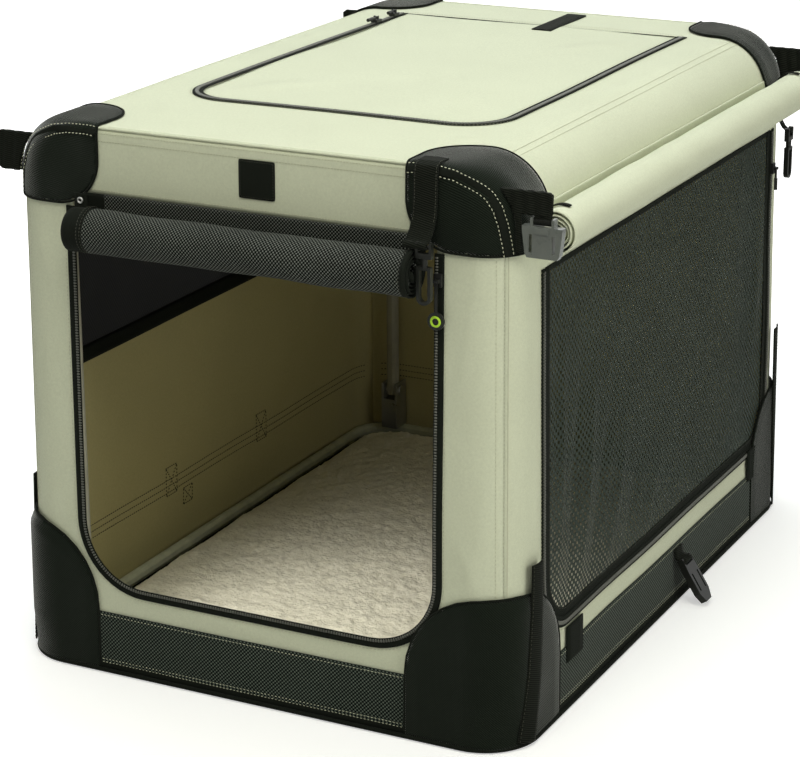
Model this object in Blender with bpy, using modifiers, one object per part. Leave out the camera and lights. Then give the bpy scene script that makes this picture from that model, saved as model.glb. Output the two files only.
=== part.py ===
"""A soft-sided dog crate: a fabric shell over a folding frame of steel tube.

Metres, +Z up. The doorway faces -Y, the mesh side door faces +X, and the origin is the
middle of the underside.
"""
import math

import bmesh
import bpy
from mathutils import Matrix, Vector

# Overall shell, measured on the outside of the wall fabric
BASE_HALF_WIDTH = 0.295
BASE_HALF_LENGTH = 0.411
HEIGHT = 0.602
WALL_LEAN = 0.010
BASE_CORNER_RADIUS = 0.055
TOP_CORNER_RADIUS = 0.040
ROOF_EDGE_RADIUS = 0.060
FRONT_EDGE_RADIUS = 0.006
WALL_TOP_DROP = 0.070

# Fabric
WALL_THICKNESS = 0.0020
LAYER_THICKNESS = 0.0015
FLOOR_THICKNESS = 0.0035
GAP = 0.0003

# Frame
TUBE_RADIUS = 0.008
RAIL_RADIUS = 0.007
HOOP_BEND_RADIUS = 0.060
TOP_FRAME_BEND_RADIUS = 0.030
FRONT_PIVOT_HEIGHT = 0.036
REAR_PIVOT_HEIGHT = 0.072
LEG_CLEARANCE = 0.003
BRACKET_WALL = 0.003
BRACKET_INWARD = 0.012
BRACKET_OUTWARD = 0.0165
BRACKET_RISE = 0.011
PIN_RADIUS = 0.004
PIN_HEAD_RADIUS = 0.007
PIN_HEAD_THICKNESS = 0.0016
COLLAR_WALL = 0.0025
COLLAR_LENGTH = 0.016
RUNNER_LENGTH = 0.012
RUNNER_HEIGHT = 0.015
CATCH_OFFSET = 0.115
CATCH_WIDTH = 0.018

# Mat
MAT_SIDE_CLEARANCE = 0.033
MAT_END_CLEARANCE = 0.042
MAT_THICKNESS = 0.026
MAT_CORNER_RADIUS = 0.050
MAT_DRAW_IN = 0.005

# Front doorway
DOORWAY_HALF_WIDTH = 0.206
DOORWAY_BOTTOM = 0.103
DOORWAY_CORNER_RADIUS = 0.070

# Side door in the right wall
SIDE_DOOR_FRONT = -0.324
SIDE_DOOR_REAR = 0.343
SIDE_DOOR_BOTTOM = 0.104
SIDE_DOOR_TOP = 0.492
SIDE_DOOR_CORNER_RADIUS = 0.055
SIDE_DOOR_THICKNESS = 0.0012
SIDE_DOOR_FOLD_DEPTH = 0.0035

# Window in the left wall
WINDOW_HALF_LENGTH = 0.325
WINDOW_BOTTOM = 0.312
WINDOW_TOP = 0.505
WINDOW_CORNER_RADIUS = 0.030

# Roof flap
FLAP_LEFT = -0.176
FLAP_RIGHT = 0.184
FLAP_FRONT = -0.232
FLAP_REAR = 0.300
FLAP_CORNER_RADIUS = 0.050
ROOF_STRAP_CENTRE = 0.020
ROOF_STRAP_FRONT = 0.268
ROOF_STRAP_REAR = 0.378

# Zips
TAPE_WIDTH = 0.010
SLIDER_WIDTH = 0.0086
SLIDER_LENGTH = 0.013
SLIDER_THICKNESS = 0.0034
EAR_HEIGHT = 0.0042
PULL_PIN_RADIUS = 0.0007
PULL_EYE_RADIUS = 0.0018
PULL_WIDTH = 0.0034
FRONT_SLIDER_DROP = 0.041
SIDE_SLIDER_DROP = 0.048

# Belt and corner caps
BELT_HEIGHT = 0.070
BOTTOM_CAP_REACH = 0.118
BOTTOM_CAP_HEIGHT = 0.165
BOTTOM_CAP_ROUNDING = 0.085
TOP_CAP_REACH = 0.104
TOP_CAP_DEPTH = 0.068
TOP_CAP_DROP = 0.085
TOP_CAP_ROUNDING = 0.045

# Rolls
FRONT_ROLL_RADIUS = 0.0215
FRONT_ROLL_HEIGHT = 0.490
FRONT_ROLL_LEFT = -0.232
FRONT_ROLL_RIGHT = 0.198
SIDE_ROLL_RADIUS = 0.0195
SIDE_ROLL_HEIGHT = 0.5150
SIDE_ROLL_FRONT = -0.330
SIDE_ROLL_REAR = 0.392
ROLL_FABRIC = 0.0020
ROLL_CORE_RADIUS = 0.0055
ROLL_TURNS = 4
ROLL_STEPS = 16

# Webbing and hardware
WEBBING_WIDTH = 0.025
WEBBING_THICKNESS = 0.0016
FRONT_STRAP_CENTRE = 0.197
FRONT_HOOK_CENTRE = 0.2085
FRONT_HOOK_TOP = 0.5305
FRONT_HOOK_STAND_OFF = 0.0258
SIDE_STRAP_CENTRE = 0.371
SIDE_STRAP_WIDTH = 0.011
SIDE_HOOK_TOP = 0.4865
SIDE_HOOK_STAND_OFF = 0.0150
HOOK_WIDTH = 0.018
HOOK_LENGTH = 0.058
HOOK_HEAD_DROP = 0.0065
HOOK_HEAD_HEIGHT = 0.0055
HOOK_NECK_LENGTH = 0.008
HOOK_NECK_RADIUS = 0.0034
HOOK_THICKNESS = 0.0056
HOOK_WALL = 0.0033
HUNG_BAR_RADIUS = 0.0015
WEBBING_EYE_RADIUS = 0.0038
LUG_THICKNESS = 0.0028
CORNER_LOOP_TOP = 0.586
CORNER_LOOP_BOTTOM = 0.546
CORNER_LOOP_INSET = 0.026
CORNER_LOOP_STAND_OUT = 0.026
CORNER_BAR_HEIGHT = 0.5555
CORNER_BUCKLE_WIDTH = 0.042
CORNER_BUCKLE_LENGTH = 0.031
CORNER_BUCKLE_THICKNESS = 0.0090
BUCKLE_SLOT_WIDTH = 0.0030
BUCKLE_RAIL_WIDTH = 0.0045
BELT_LOOP_CENTRE = 0.045
BELT_LOOP_TOP = 0.0545
BELT_BUCKLE_LENGTH = 0.053
BELT_BUCKLE_WIDTH = 0.027
BELT_BUCKLE_THICKNESS = 0.0080
BELT_BUCKLE_TILT = 32.0

# Counts along curves
CORNER_STEPS = 6
ROOF_EDGE_STEPS = 6
CUT_MARGIN = 0.020

CREAM = (0.80, 0.80, 0.66)
TWILL = (0.045, 0.050, 0.042)
BELT_GREEN = (0.060, 0.080, 0.068)
MESH_GREY = (0.070, 0.082, 0.075)
WEBBING_BLACK = (0.020, 0.020, 0.018)
PLASTIC_BLACK = (0.030, 0.032, 0.030)
FLEECE = (0.84, 0.79, 0.72)
TUBE_GREY = (0.45, 0.44, 0.38)
STEEL = (0.62, 0.62, 0.60)


# Sizes that follow from the driving dimensions

def half_width(z):
    return BASE_HALF_WIDTH - WALL_LEAN * z / HEIGHT


def half_length(z):
    return BASE_HALF_LENGTH - WALL_LEAN * z / HEIGHT


def corner_radius(z):
    return BASE_CORNER_RADIUS + (TOP_CORNER_RADIUS - BASE_CORNER_RADIUS) * z / HEIGHT


FIRST_LAYER = (GAP, GAP + LAYER_THICKNESS)
SECOND_LAYER = (FIRST_LAYER[1] + GAP, FIRST_LAYER[1] + GAP + LAYER_THICKNESS)
WALL_BOTTOM = FLOOR_THICKNESS + GAP
WALL_TOP = HEIGHT - WALL_TOP_DROP
ROOF_UNDERSIDE = HEIGHT - WALL_THICKNESS

EDGE_CENTRE_Z = HEIGHT - ROOF_EDGE_RADIUS
EDGE_CENTRE_X = half_width(EDGE_CENTRE_Z) - ROOF_EDGE_RADIUS
RAIL_OFFSET = (ROOF_EDGE_RADIUS - WALL_THICKNESS - GAP - RAIL_RADIUS) / math.sqrt(2)
RAIL_X = EDGE_CENTRE_X + RAIL_OFFSET
RAIL_Z = EDGE_CENTRE_Z + RAIL_OFFSET

RAIL_END = half_length(HEIGHT) - TOP_CORNER_RADIUS + 0.002

COLLAR_RADIUS = TUBE_RADIUS + GAP + COLLAR_WALL
HOOP_PLANE = half_length(HEIGHT) - WALL_THICKNESS - COLLAR_RADIUS - GAP
REAR_BAR_Z = ROOF_UNDERSIDE - COLLAR_RADIUS - GAP
FRONT_BAR_Z = RAIL_Z - RAIL_RADIUS - TUBE_RADIUS - GAP
RUNNER_X = RAIL_X - RAIL_RADIUS - GAP - COLLAR_WALL
REAR_LEG_X = RUNNER_X - TUBE_RADIUS - GAP
FRONT_LEG_X = REAR_LEG_X - 2 * TUBE_RADIUS - LEG_CLEARANCE
BASE_TUBE_Z = WALL_BOTTOM + TUBE_RADIUS
BRACKET_BOTTOM = BASE_TUBE_Z + TUBE_RADIUS + GAP
SLOT_BELOW_PIVOT = BRACKET_RISE
LEG_BELOW_PIVOT = SLOT_BELOW_PIVOT - 0.005
MAT_HALF_WIDTH = BASE_HALF_WIDTH - MAT_SIDE_CLEARANCE
MAT_HALF_LENGTH = BASE_HALF_LENGTH - MAT_END_CLEARANCE
CORNER_LOOP_PLANE = BASE_HALF_LENGTH - CORNER_LOOP_INSET
CORNER_LOOP_REACH = BASE_HALF_WIDTH + CORNER_LOOP_STAND_OUT


# Building blocks

def clear_scene():
    for item in list(bpy.data.objects):
        bpy.data.objects.remove(item)


def make_collection(name):
    collection = bpy.data.collections.new(name)
    bpy.context.scene.collection.children.link(collection)
    return collection


def link_mesh(name, bm, collection):
    bmesh.ops.recalc_face_normals(bm, faces=bm.faces)
    mesh = bpy.data.meshes.new(name)
    bm.to_mesh(mesh)
    bm.free()
    piece = bpy.data.objects.new(name, mesh)
    collection.objects.link(piece)
    return piece


def box(name, low, high, collection=None):
    bm = bmesh.new()
    bmesh.ops.create_cube(bm, size=1)
    size = Vector(high) - Vector(low)
    bmesh.ops.scale(bm, vec=size, verts=bm.verts)
    bmesh.ops.translate(bm, vec=Vector(low) + size / 2, verts=bm.verts)
    return link_mesh(name, bm, collection or cutters)


def rod(name, start, end, radius, sides=16, collection=None):
    start, end = Vector(start), Vector(end)
    bm = bmesh.new()
    bmesh.ops.create_cone(bm, cap_ends=True, segments=sides, radius1=radius, radius2=radius,
                          depth=(end - start).length)
    turn = (end - start).to_track_quat("Z", "Y").to_matrix().to_4x4()
    bmesh.ops.transform(bm, matrix=Matrix.Translation((start + end) / 2) @ turn, verts=bm.verts)
    return link_mesh(name, bm, collection or cutters)


def curve_to_mesh(name, curve, matrix, collection):
    guide = bpy.data.objects.new(name + "_curve", curve)
    guide.matrix_world = matrix
    cutters.objects.link(guide)
    bpy.context.view_layer.update()
    shaped = guide.evaluated_get(bpy.context.evaluated_depsgraph_get())
    bm = bmesh.new()
    bm.from_mesh(bpy.data.meshes.new_from_object(shaped))
    bmesh.ops.remove_doubles(bm, verts=bm.verts, dist=0.00001)
    bmesh.ops.transform(bm, matrix=matrix, verts=bm.verts)
    bpy.data.objects.remove(guide)
    return link_mesh(name, bm, collection)


def tube(name, points, radius, closed=False, resolution=3, collection=None):
    curve = bpy.data.curves.new(name, "CURVE")
    curve.dimensions = "3D"
    curve.bevel_depth = radius
    curve.bevel_resolution = resolution
    curve.use_fill_caps = not closed
    spline = curve.splines.new("POLY")
    spline.points.add(len(points) - 1)
    for target, point in zip(spline.points, points):
        target.co = (*point, 1)
    spline.use_cyclic_u = closed
    return curve_to_mesh(name, curve, Matrix.Identity(4), collection or parts)


AXIS_TURNS = {
    "X": Matrix(((0, 0, 1), (1, 0, 0), (0, 1, 0))),
    "Y": Matrix(((1, 0, 0), (0, 0, -1), (0, 1, 0))),
    "Z": Matrix.Identity(3),
}


def slab(name, outline, axis, low, high, collection=None):
    """An outline in the plane across an axis, (y, z), (x, z) or (x, y), from low to high."""
    curve = bpy.data.curves.new(name, "CURVE")
    curve.dimensions = "2D"
    curve.fill_mode = "BOTH"
    curve.extrude = (high - low) / 2
    spline = curve.splines.new("POLY")
    spline.points.add(len(outline) - 1)
    for target, (u, v) in zip(spline.points, outline):
        target.co = (u, v, 0, 1)
    spline.use_cyclic_u = True
    middle = Vector([(low + high) / 2 if letter == axis else 0 for letter in "XYZ"])
    matrix = Matrix.Translation(middle) @ AXIS_TURNS[axis].to_4x4()
    return curve_to_mesh(name, curve, matrix, collection or cutters)


def combine(piece, operation, *tools):
    for tool in tools:
        modifier = piece.modifiers.new(operation.title(), "BOOLEAN")
        modifier.operation = operation
        modifier.solver = "EXACT"
        modifier.object = tool
    return piece


def finish(piece, colour, roughness=0.8, metallic=0.0, smooth=False):
    material = bpy.data.materials.new(piece.name)
    material.use_nodes = True
    shader = material.node_tree.nodes["Principled BSDF"]
    shader.inputs["Base Color"].default_value = (*colour, 1)
    shader.inputs["Roughness"].default_value = roughness
    shader.inputs["Metallic"].default_value = metallic
    piece.data.materials.append(material)
    if smooth:
        piece.data.shade_smooth()
        piece.data.set_sharp_from_angle(angle=math.radians(40))
    return piece


def pivot(name, position):
    """The empty that a moving body's pieces hang on, set on the joint's axis."""
    empty = bpy.data.objects.new(name, None)
    empty.location = position
    empty.empty_display_size = 0.02
    parts.objects.link(empty)
    bpy.context.view_layer.update()
    return empty


def carry(empty, *pieces):
    for piece in pieces:
        piece.parent = empty
        piece.matrix_parent_inverse = empty.matrix_world.inverted()


# Outlines

def arc(centre, radius, start, end, steps=CORNER_STEPS):
    points = []
    for i in range(steps + 1):
        angle = math.radians(start + (end - start) * i / steps)
        points.append((centre[0] + radius * math.cos(angle), centre[1] + radius * math.sin(angle)))
    return points


def rounded_rectangle(half_x, half_y, radius, steps=CORNER_STEPS, draw_in=0.0):
    """Anticlockwise from the right side. draw_in pulls the middle of each side inwards."""
    points = []
    for quarter in range(4):
        sign_x = 1 if quarter in (0, 3) else -1
        sign_y = 1 if quarter in (0, 1) else -1
        centre = (sign_x * (half_x - radius), sign_y * (half_y - radius))
        points += arc(centre, radius, 90 * quarter, 90 * quarter + 90, steps)
        if draw_in:
            start = points[-1]
            turn = quarter % 2 == 0
            along = -2 * start[0] if turn else -2 * start[1]
            inward = -sign_y if turn else -sign_x
            for share in (0.2, 0.5, 0.8):
                sink = draw_in * 4 * share * (1 - share) * inward
                if turn:
                    points.append((start[0] + along * share, start[1] + sink))
                else:
                    points.append((start[0] + sink, start[1] + along * share))
    return points


def u_path(left, right, bottom, top, radius, steps=CORNER_STEPS):
    """Down the left side, round two corners and up the right side."""
    path = [(left, top)]
    path += arc((left + radius, bottom + radius), radius, 180, 270, steps)
    path += arc((right - radius, bottom + radius), radius, 270, 360, steps)
    return path + [(right, top)]


def ribbon(path, width):
    """The closed outline of a band of one width that follows an open path."""
    sides = ([], [])
    for i, point in enumerate(path):
        before = Vector(path[max(i - 1, 0)])
        after = Vector(path[min(i + 1, len(path) - 1)])
        along = (after - before).normalized()
        across = Vector((-along.y, along.x)) * width / 2
        sides[0].append(tuple(Vector(point) + across))
        sides[1].append(tuple(Vector(point) - across))
    return sides[0] + sides[1][::-1]


def roll_path(centre, radius, tail_top):
    """A spiral wound outwards to its wall side, then straight up to the seam."""
    outer = radius - ROLL_FABRIC / 2
    count = ROLL_TURNS * ROLL_STEPS
    path = []
    for i in range(count + 1):
        share = i / count
        distance = ROLL_CORE_RADIUS + (outer - ROLL_CORE_RADIUS) * share
        angle = math.pi + 2 * math.pi * ROLL_TURNS * (1 - share)
        path.append((centre[0] + distance * math.cos(angle), centre[1] + distance * math.sin(angle)))
    return path + [(centre[0] - outer, tail_top)]


# The shell's own form

def shell_levels(offset):
    """Height, half width, half length and corner radius of the shell, bottom to top."""
    levels = [(-CUT_MARGIN, 0.0)] + [(EDGE_CENTRE_Z, 0.0)]
    for i in range(1, ROOF_EDGE_STEPS + 1):
        levels.append((None, math.pi / 2 * i / ROOF_EDGE_STEPS))
    rows = []
    for z, angle in levels:
        if z is None:
            z = EDGE_CENTRE_Z + (ROOF_EDGE_RADIUS + offset) * math.sin(angle)
            half_x = EDGE_CENTRE_X + (ROOF_EDGE_RADIUS + offset) * math.cos(angle)
        else:
            half_x = half_width(z) + offset
        half_y = half_length(min(z, HEIGHT)) + offset
        depth = z - (HEIGHT - FRONT_EDGE_RADIUS)
        if depth > 0:
            edge = FRONT_EDGE_RADIUS + offset
            half_y += math.sqrt(max(edge * edge - depth * depth, 0)) - edge
        rows.append((z, half_x, half_y, corner_radius(min(z, HEIGHT)) + offset))
    return rows


def loft(bm, rows, draw_in=0.0):
    rings = []
    for z, half_x, half_y, radius in rows:
        outline = rounded_rectangle(half_x, half_y, radius, draw_in=draw_in)
        rings.append([bm.verts.new((x, y, z)) for x, y in outline])
    for lower, upper in zip(rings, rings[1:]):
        for i in range(len(lower)):
            j = (i + 1) % len(lower)
            bm.faces.new((lower[i], lower[j], upper[j], upper[i]))
    return rings


def shell(name, inner, outer, collection=None):
    """The skin between two offsets from the fabric's outside, open underneath."""
    bm = bmesh.new()
    outside = loft(bm, shell_levels(outer))
    inside = loft(bm, shell_levels(inner))
    bm.faces.new(outside[-1])
    bm.faces.new(inside[-1][::-1])
    for i in range(len(outside[0])):
        j = (i + 1) % len(outside[0])
        bm.faces.new((outside[0][j], outside[0][i], inside[0][i], inside[0][j]))
    return link_mesh(name, bm, collection or parts)


def shell_core(name, offset):
    """Everything inside one offset, as a cutter."""
    bm = bmesh.new()
    rings = loft(bm, shell_levels(offset))
    bm.faces.new(rings[-1])
    bm.faces.new(rings[0][::-1])
    return link_mesh(name, bm, cutters)


FAR = 0.12


def wall_zone(name, side, low, high):
    """The part of the shell that belongs to one wall, parted at the corners' middles."""
    inner_x = half_width(0) - BASE_CORNER_RADIUS - CUT_MARGIN
    inner_y = half_length(0) - BASE_CORNER_RADIUS - CUT_MARGIN
    if side in ("front", "rear"):
        sign = -1 if side == "front" else 1
        shift = sign * GAP
        outline = [(-inner_x, sign * inner_y + shift), (inner_x, sign * inner_y + shift),
                   (inner_x + FAR, sign * (inner_y + FAR) + shift),
                   (-inner_x - FAR, sign * (inner_y + FAR) + shift)]
    else:
        sign = -1 if side == "left" else 1
        outline = [(sign * inner_x, -inner_y), (sign * inner_x, inner_y),
                   (sign * (inner_x + FAR), inner_y + FAR), (sign * (inner_x + FAR), -inner_y - FAR)]
    return slab(name, outline, "Z", low, high)


# Base

def build_floor():
    outline = rounded_rectangle(half_width(0) + SECOND_LAYER[1], half_length(0) + SECOND_LAYER[1],
                                BASE_CORNER_RADIUS + SECOND_LAYER[1])
    floor = slab("floor_panel", outline, "Z", 0, FLOOR_THICKNESS, parts)
    finish(floor, BELT_GREEN)


def build_base_frame():
    inset = WALL_THICKNESS + GAP + TUBE_RADIUS
    outline = rounded_rectangle(half_width(BASE_TUBE_Z) - inset, half_length(BASE_TUBE_Z) - inset,
                                corner_radius(BASE_TUBE_Z) - inset)
    frame = tube("base_frame", [(x, y, BASE_TUBE_Z) for x, y in outline], TUBE_RADIUS, closed=True)
    finish(frame, TUBE_GREY, 0.45, smooth=True)


def build_bracket(label, leg_x, leg_y, pivot_z):
    half_slot = TUBE_RADIUS + GAP
    half = half_slot + BRACKET_WALL
    top = pivot_z + BRACKET_RISE
    outward = 1 if leg_y > 0 else -1
    sides = sorted((leg_y + outward * BRACKET_OUTWARD, leg_y - outward * BRACKET_INWARD))
    bracket = box("hinge_bracket_" + label, (leg_x - half, sides[0], BRACKET_BOTTOM),
                  (leg_x + half, sides[1], top), parts)
    slot = box("slot_" + label,
               (leg_x - half_slot, leg_y - BRACKET_OUTWARD * 2, pivot_z - SLOT_BELOW_PIVOT),
               (leg_x + half_slot, leg_y + BRACKET_OUTWARD * 2, top + CUT_MARGIN))
    bore = rod("bore_" + label, (leg_x - half - GAP, leg_y, pivot_z),
               (leg_x + half + GAP, leg_y, pivot_z), PIN_RADIUS + GAP)
    combine(bracket, "DIFFERENCE", slot, bore)
    finish(bracket, STEEL, 0.4, 0.8)
    reach = half + GAP
    pin = rod("hinge_pin_" + label, (leg_x - reach, leg_y, pivot_z), (leg_x + reach, leg_y, pivot_z),
              PIN_RADIUS, collection=parts)
    for sign in (-1, 1):
        start = leg_x + sign * reach
        head = rod("head_" + label, (start - sign * GAP / 2, leg_y, pivot_z),
                   (start + sign * PIN_HEAD_THICKNESS, leg_y, pivot_z), PIN_HEAD_RADIUS)
        combine(pin, "UNION", head)
    finish(pin, STEEL, 0.3, 0.9, smooth=True)


def build_hoop(name, leg_x, plane, pivot_z, bar_z):
    low = pivot_z - LEG_BELOW_PIVOT
    bend = HOOP_BEND_RADIUS
    outline = [(-leg_x, low)]
    outline += arc((-leg_x + bend, bar_z - bend), bend, 180, 90)
    outline += arc((leg_x - bend, bar_z - bend), bend, 90, 0)
    outline += [(leg_x, low)]
    hoop = tube(name, [(x, plane, z) for x, z in outline], TUBE_RADIUS)
    for sign in (-1, 1):
        x = sign * leg_x
        bore = rod(name + "_bore", (x - 2 * TUBE_RADIUS, plane, pivot_z),
                   (x + 2 * TUBE_RADIUS, plane, pivot_z), PIN_RADIUS + GAP)
        combine(hoop, "DIFFERENCE", bore)
    finish(hoop, TUBE_GREY, 0.45, smooth=True)
    carry(pivot(name + "_pivot", (0, plane, pivot_z)), hoop)


def build_mat():
    rows = []
    for inset, rise in ((0.010, 0.0), (0.003, 0.15), (0.0, 0.42), (0.002, 0.68), (0.009, 0.88),
                        (0.024, 0.97), (0.070, 1.0)):
        rows.append((WALL_BOTTOM + MAT_THICKNESS * rise, MAT_HALF_WIDTH - inset,
                     MAT_HALF_LENGTH - inset, MAT_CORNER_RADIUS))
    bm = bmesh.new()
    rings = loft(bm, rows, draw_in=MAT_DRAW_IN)
    bm.faces.new(rings[-1])
    bm.faces.new(rings[0][::-1])
    mat = link_mesh("fleece_mat", bm, parts)
    finish(mat, FLEECE, 1.0, smooth=True)


# Walls

def build_walls():
    for side in ("front", "rear", "left", "right"):
        wall = shell(side + "_wall", -WALL_THICKNESS, 0.0)
        combine(wall, "INTERSECT", wall_zone(side + "_zone", side, WALL_BOTTOM, WALL_TOP - GAP))
        finish(wall, CREAM)
        if side == "front":
            hole = u_path(-DOORWAY_HALF_WIDTH, DOORWAY_HALF_WIDTH, DOORWAY_BOTTOM, HEIGHT,
                          DOORWAY_CORNER_RADIUS)
            combine(wall, "DIFFERENCE", slab("doorway", hole, "Y", -BASE_HALF_LENGTH - FAR, 0))
        if side == "right":
            hole = u_path(SIDE_DOOR_FRONT, SIDE_DOOR_REAR, SIDE_DOOR_BOTTOM, SIDE_DOOR_TOP,
                          SIDE_DOOR_CORNER_RADIUS)
            combine(wall, "DIFFERENCE", slab("side_opening", hole, "X", 0, BASE_HALF_WIDTH + FAR))
        if side == "left":
            combine(wall, "DIFFERENCE", window_prism("window_opening", 0.0))


def window_prism(name, inset):
    radius = WINDOW_CORNER_RADIUS - inset
    middle = (WINDOW_BOTTOM + WINDOW_TOP) / 2
    outline = [(y, z + middle) for y, z in rounded_rectangle(
        WINDOW_HALF_LENGTH - inset, (WINDOW_TOP - WINDOW_BOTTOM) / 2 - inset, radius)]
    return slab(name, outline, "X", -BASE_HALF_WIDTH - FAR, 0)


def build_window():
    window = shell("left_window_mesh", -WALL_THICKNESS, -WALL_THICKNESS / 4)
    combine(window, "INTERSECT", window_prism("window_area", GAP))
    finish(window, MESH_GREY)


def build_zip_tapes():
    """The tape round each opening. The roof's rides with the top, so it is handed back."""
    spread = TAPE_WIDTH / 2 + GAP
    path = u_path(-DOORWAY_HALF_WIDTH - spread, DOORWAY_HALF_WIDTH + spread,
                  DOORWAY_BOTTOM - spread, HEIGHT - TOP_CAP_DROP - GAP,
                  DOORWAY_CORNER_RADIUS + spread)
    front = shell("front_zip", *FIRST_LAYER)
    combine(front, "INTERSECT", slab("front_zip_area", ribbon(path, TAPE_WIDTH), "Y",
                                     -BASE_HALF_LENGTH - FAR, 0))
    finish(front, WEBBING_BLACK, 0.6)
    path = u_path(SIDE_DOOR_FRONT - spread, SIDE_DOOR_REAR + spread, SIDE_DOOR_BOTTOM - spread,
                  SIDE_DOOR_TOP, SIDE_DOOR_CORNER_RADIUS + spread)
    side = shell("side_zip", *FIRST_LAYER)
    combine(side, "INTERSECT", slab("side_zip_area", ribbon(path, TAPE_WIDTH), "X",
                                    0, BASE_HALF_WIDTH + FAR))
    finish(side, WEBBING_BLACK, 0.6)
    path = u_path(FLAP_LEFT - spread, FLAP_RIGHT + spread, FLAP_FRONT - spread, FLAP_REAR,
                  FLAP_CORNER_RADIUS + spread)
    roof = slab("roof_zip", ribbon(path, TAPE_WIDTH), "Z", HEIGHT + FIRST_LAYER[0],
                HEIGHT + FIRST_LAYER[1], parts)
    finish(roof, WEBBING_BLACK, 0.6)
    return roof


def build_belt():
    belt = shell("lower_belt", *FIRST_LAYER)
    limit = BASE_HALF_LENGTH + FAR
    combine(belt, "INTERSECT", box("belt_area", (-limit, -limit, WALL_BOTTOM),
                                   (limit, limit, BELT_HEIGHT)))
    finish(belt, BELT_GREEN)


def cap_outline(inner, outer, low, high, radius, round_top):
    """A rectangle with one rounded corner: inner side, at its top or at its bottom."""
    sign = 1 if outer > inner else -1
    z_round = high if round_top else low
    z_flat = low if round_top else high
    turn = 1 if round_top else -1
    corner = []
    for i in range(CORNER_STEPS + 1):
        angle = math.pi / 2 * i / CORNER_STEPS
        corner.append((inner + sign * radius * (1 - math.cos(angle)),
                       z_round - turn * radius * (1 - math.sin(angle))))
    return [(inner, z_flat)] + corner + [(outer, z_round), (outer, z_flat)]


def build_bottom_caps():
    for end, sign_y in (("front", -1), ("rear", 1)):
        for side, sign_x in (("left", -1), ("right", 1)):
            label = end + "_" + side
            cap = shell("bottom_cap_" + label, *SECOND_LAYER)
            across = cap_outline(sign_x * (BASE_HALF_WIDTH - BOTTOM_CAP_REACH),
                                 sign_x * (BASE_HALF_WIDTH + FAR), WALL_BOTTOM,
                                 BOTTOM_CAP_HEIGHT, BOTTOM_CAP_ROUNDING, True)
            along = cap_outline(sign_y * (BASE_HALF_LENGTH - BOTTOM_CAP_REACH),
                                sign_y * (BASE_HALF_LENGTH + FAR), WALL_BOTTOM,
                                BOTTOM_CAP_HEIGHT, BOTTOM_CAP_ROUNDING, True)
            limit = BASE_HALF_LENGTH + FAR
            combine(cap, "INTERSECT", slab("across_" + label, across, "Y", -limit, limit),
                    slab("along_" + label, along, "X", -limit, limit))
            quarter = box("quarter_" + label, (min(0, sign_x), min(0, sign_y), -FAR),
                          (max(0, sign_x), max(0, sign_y), HEIGHT + FAR))
            combine(cap, "INTERSECT", quarter)
            finish(cap, TWILL)


# Hoops and what joins them to the top

def build_runner(side, sign):
    x_inner = sign * (RUNNER_X - TOP_CAP_REACH + COLLAR_LENGTH / 2)
    x_collar = x_inner + sign * COLLAR_LENGTH
    back = RAIL_END - 0.002
    front = back - RUNNER_LENGTH
    low = min(RAIL_Z, REAR_BAR_Z) - RUNNER_HEIGHT / 2
    high = low + RUNNER_HEIGHT
    runner = box("top_runner_" + side, (min(x_inner, sign * RAIL_X), front, low),
                 (max(x_inner, sign * RAIL_X), back, high), parts)
    collar = rod("collar_" + side, (x_inner, HOOP_PLANE, REAR_BAR_Z),
                 (x_collar, HOOP_PLANE, REAR_BAR_Z), COLLAR_RADIUS, 20)
    web = box("web_" + side, (min(x_inner, x_collar), back - 0.002, low + 0.002),
              (max(x_inner, x_collar), HOOP_PLANE, high - 0.001))
    combine(runner, "UNION", web, collar)
    bar = rod("bar_" + side, (x_inner - sign * GAP, HOOP_PLANE, REAR_BAR_Z),
              (x_collar + sign * GAP, HOOP_PLANE, REAR_BAR_Z), TUBE_RADIUS + GAP, 20)
    rail = rod("rail_" + side, (sign * RAIL_X, front - FAR, RAIL_Z),
               (sign * RAIL_X, back + FAR, RAIL_Z), RAIL_RADIUS + GAP)
    combine(runner, "DIFFERENCE", bar, rail)
    finish(runner, PLASTIC_BLACK, 0.5)
    return runner


def build_top_frame():
    bend = TOP_FRAME_BEND_RADIUS
    outline = [(-RAIL_X, RAIL_END)]
    outline += arc((-RAIL_X + bend, -HOOP_PLANE + bend), bend, 180, 270)
    outline += arc((RAIL_X - bend, -HOOP_PLANE + bend), bend, 270, 360)
    outline += [(RAIL_X, RAIL_END)]
    frame = tube("top_frame", [(x, y, RAIL_Z) for x, y in outline], RAIL_RADIUS)
    return finish(frame, TUBE_GREY, 0.45, smooth=True)


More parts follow.
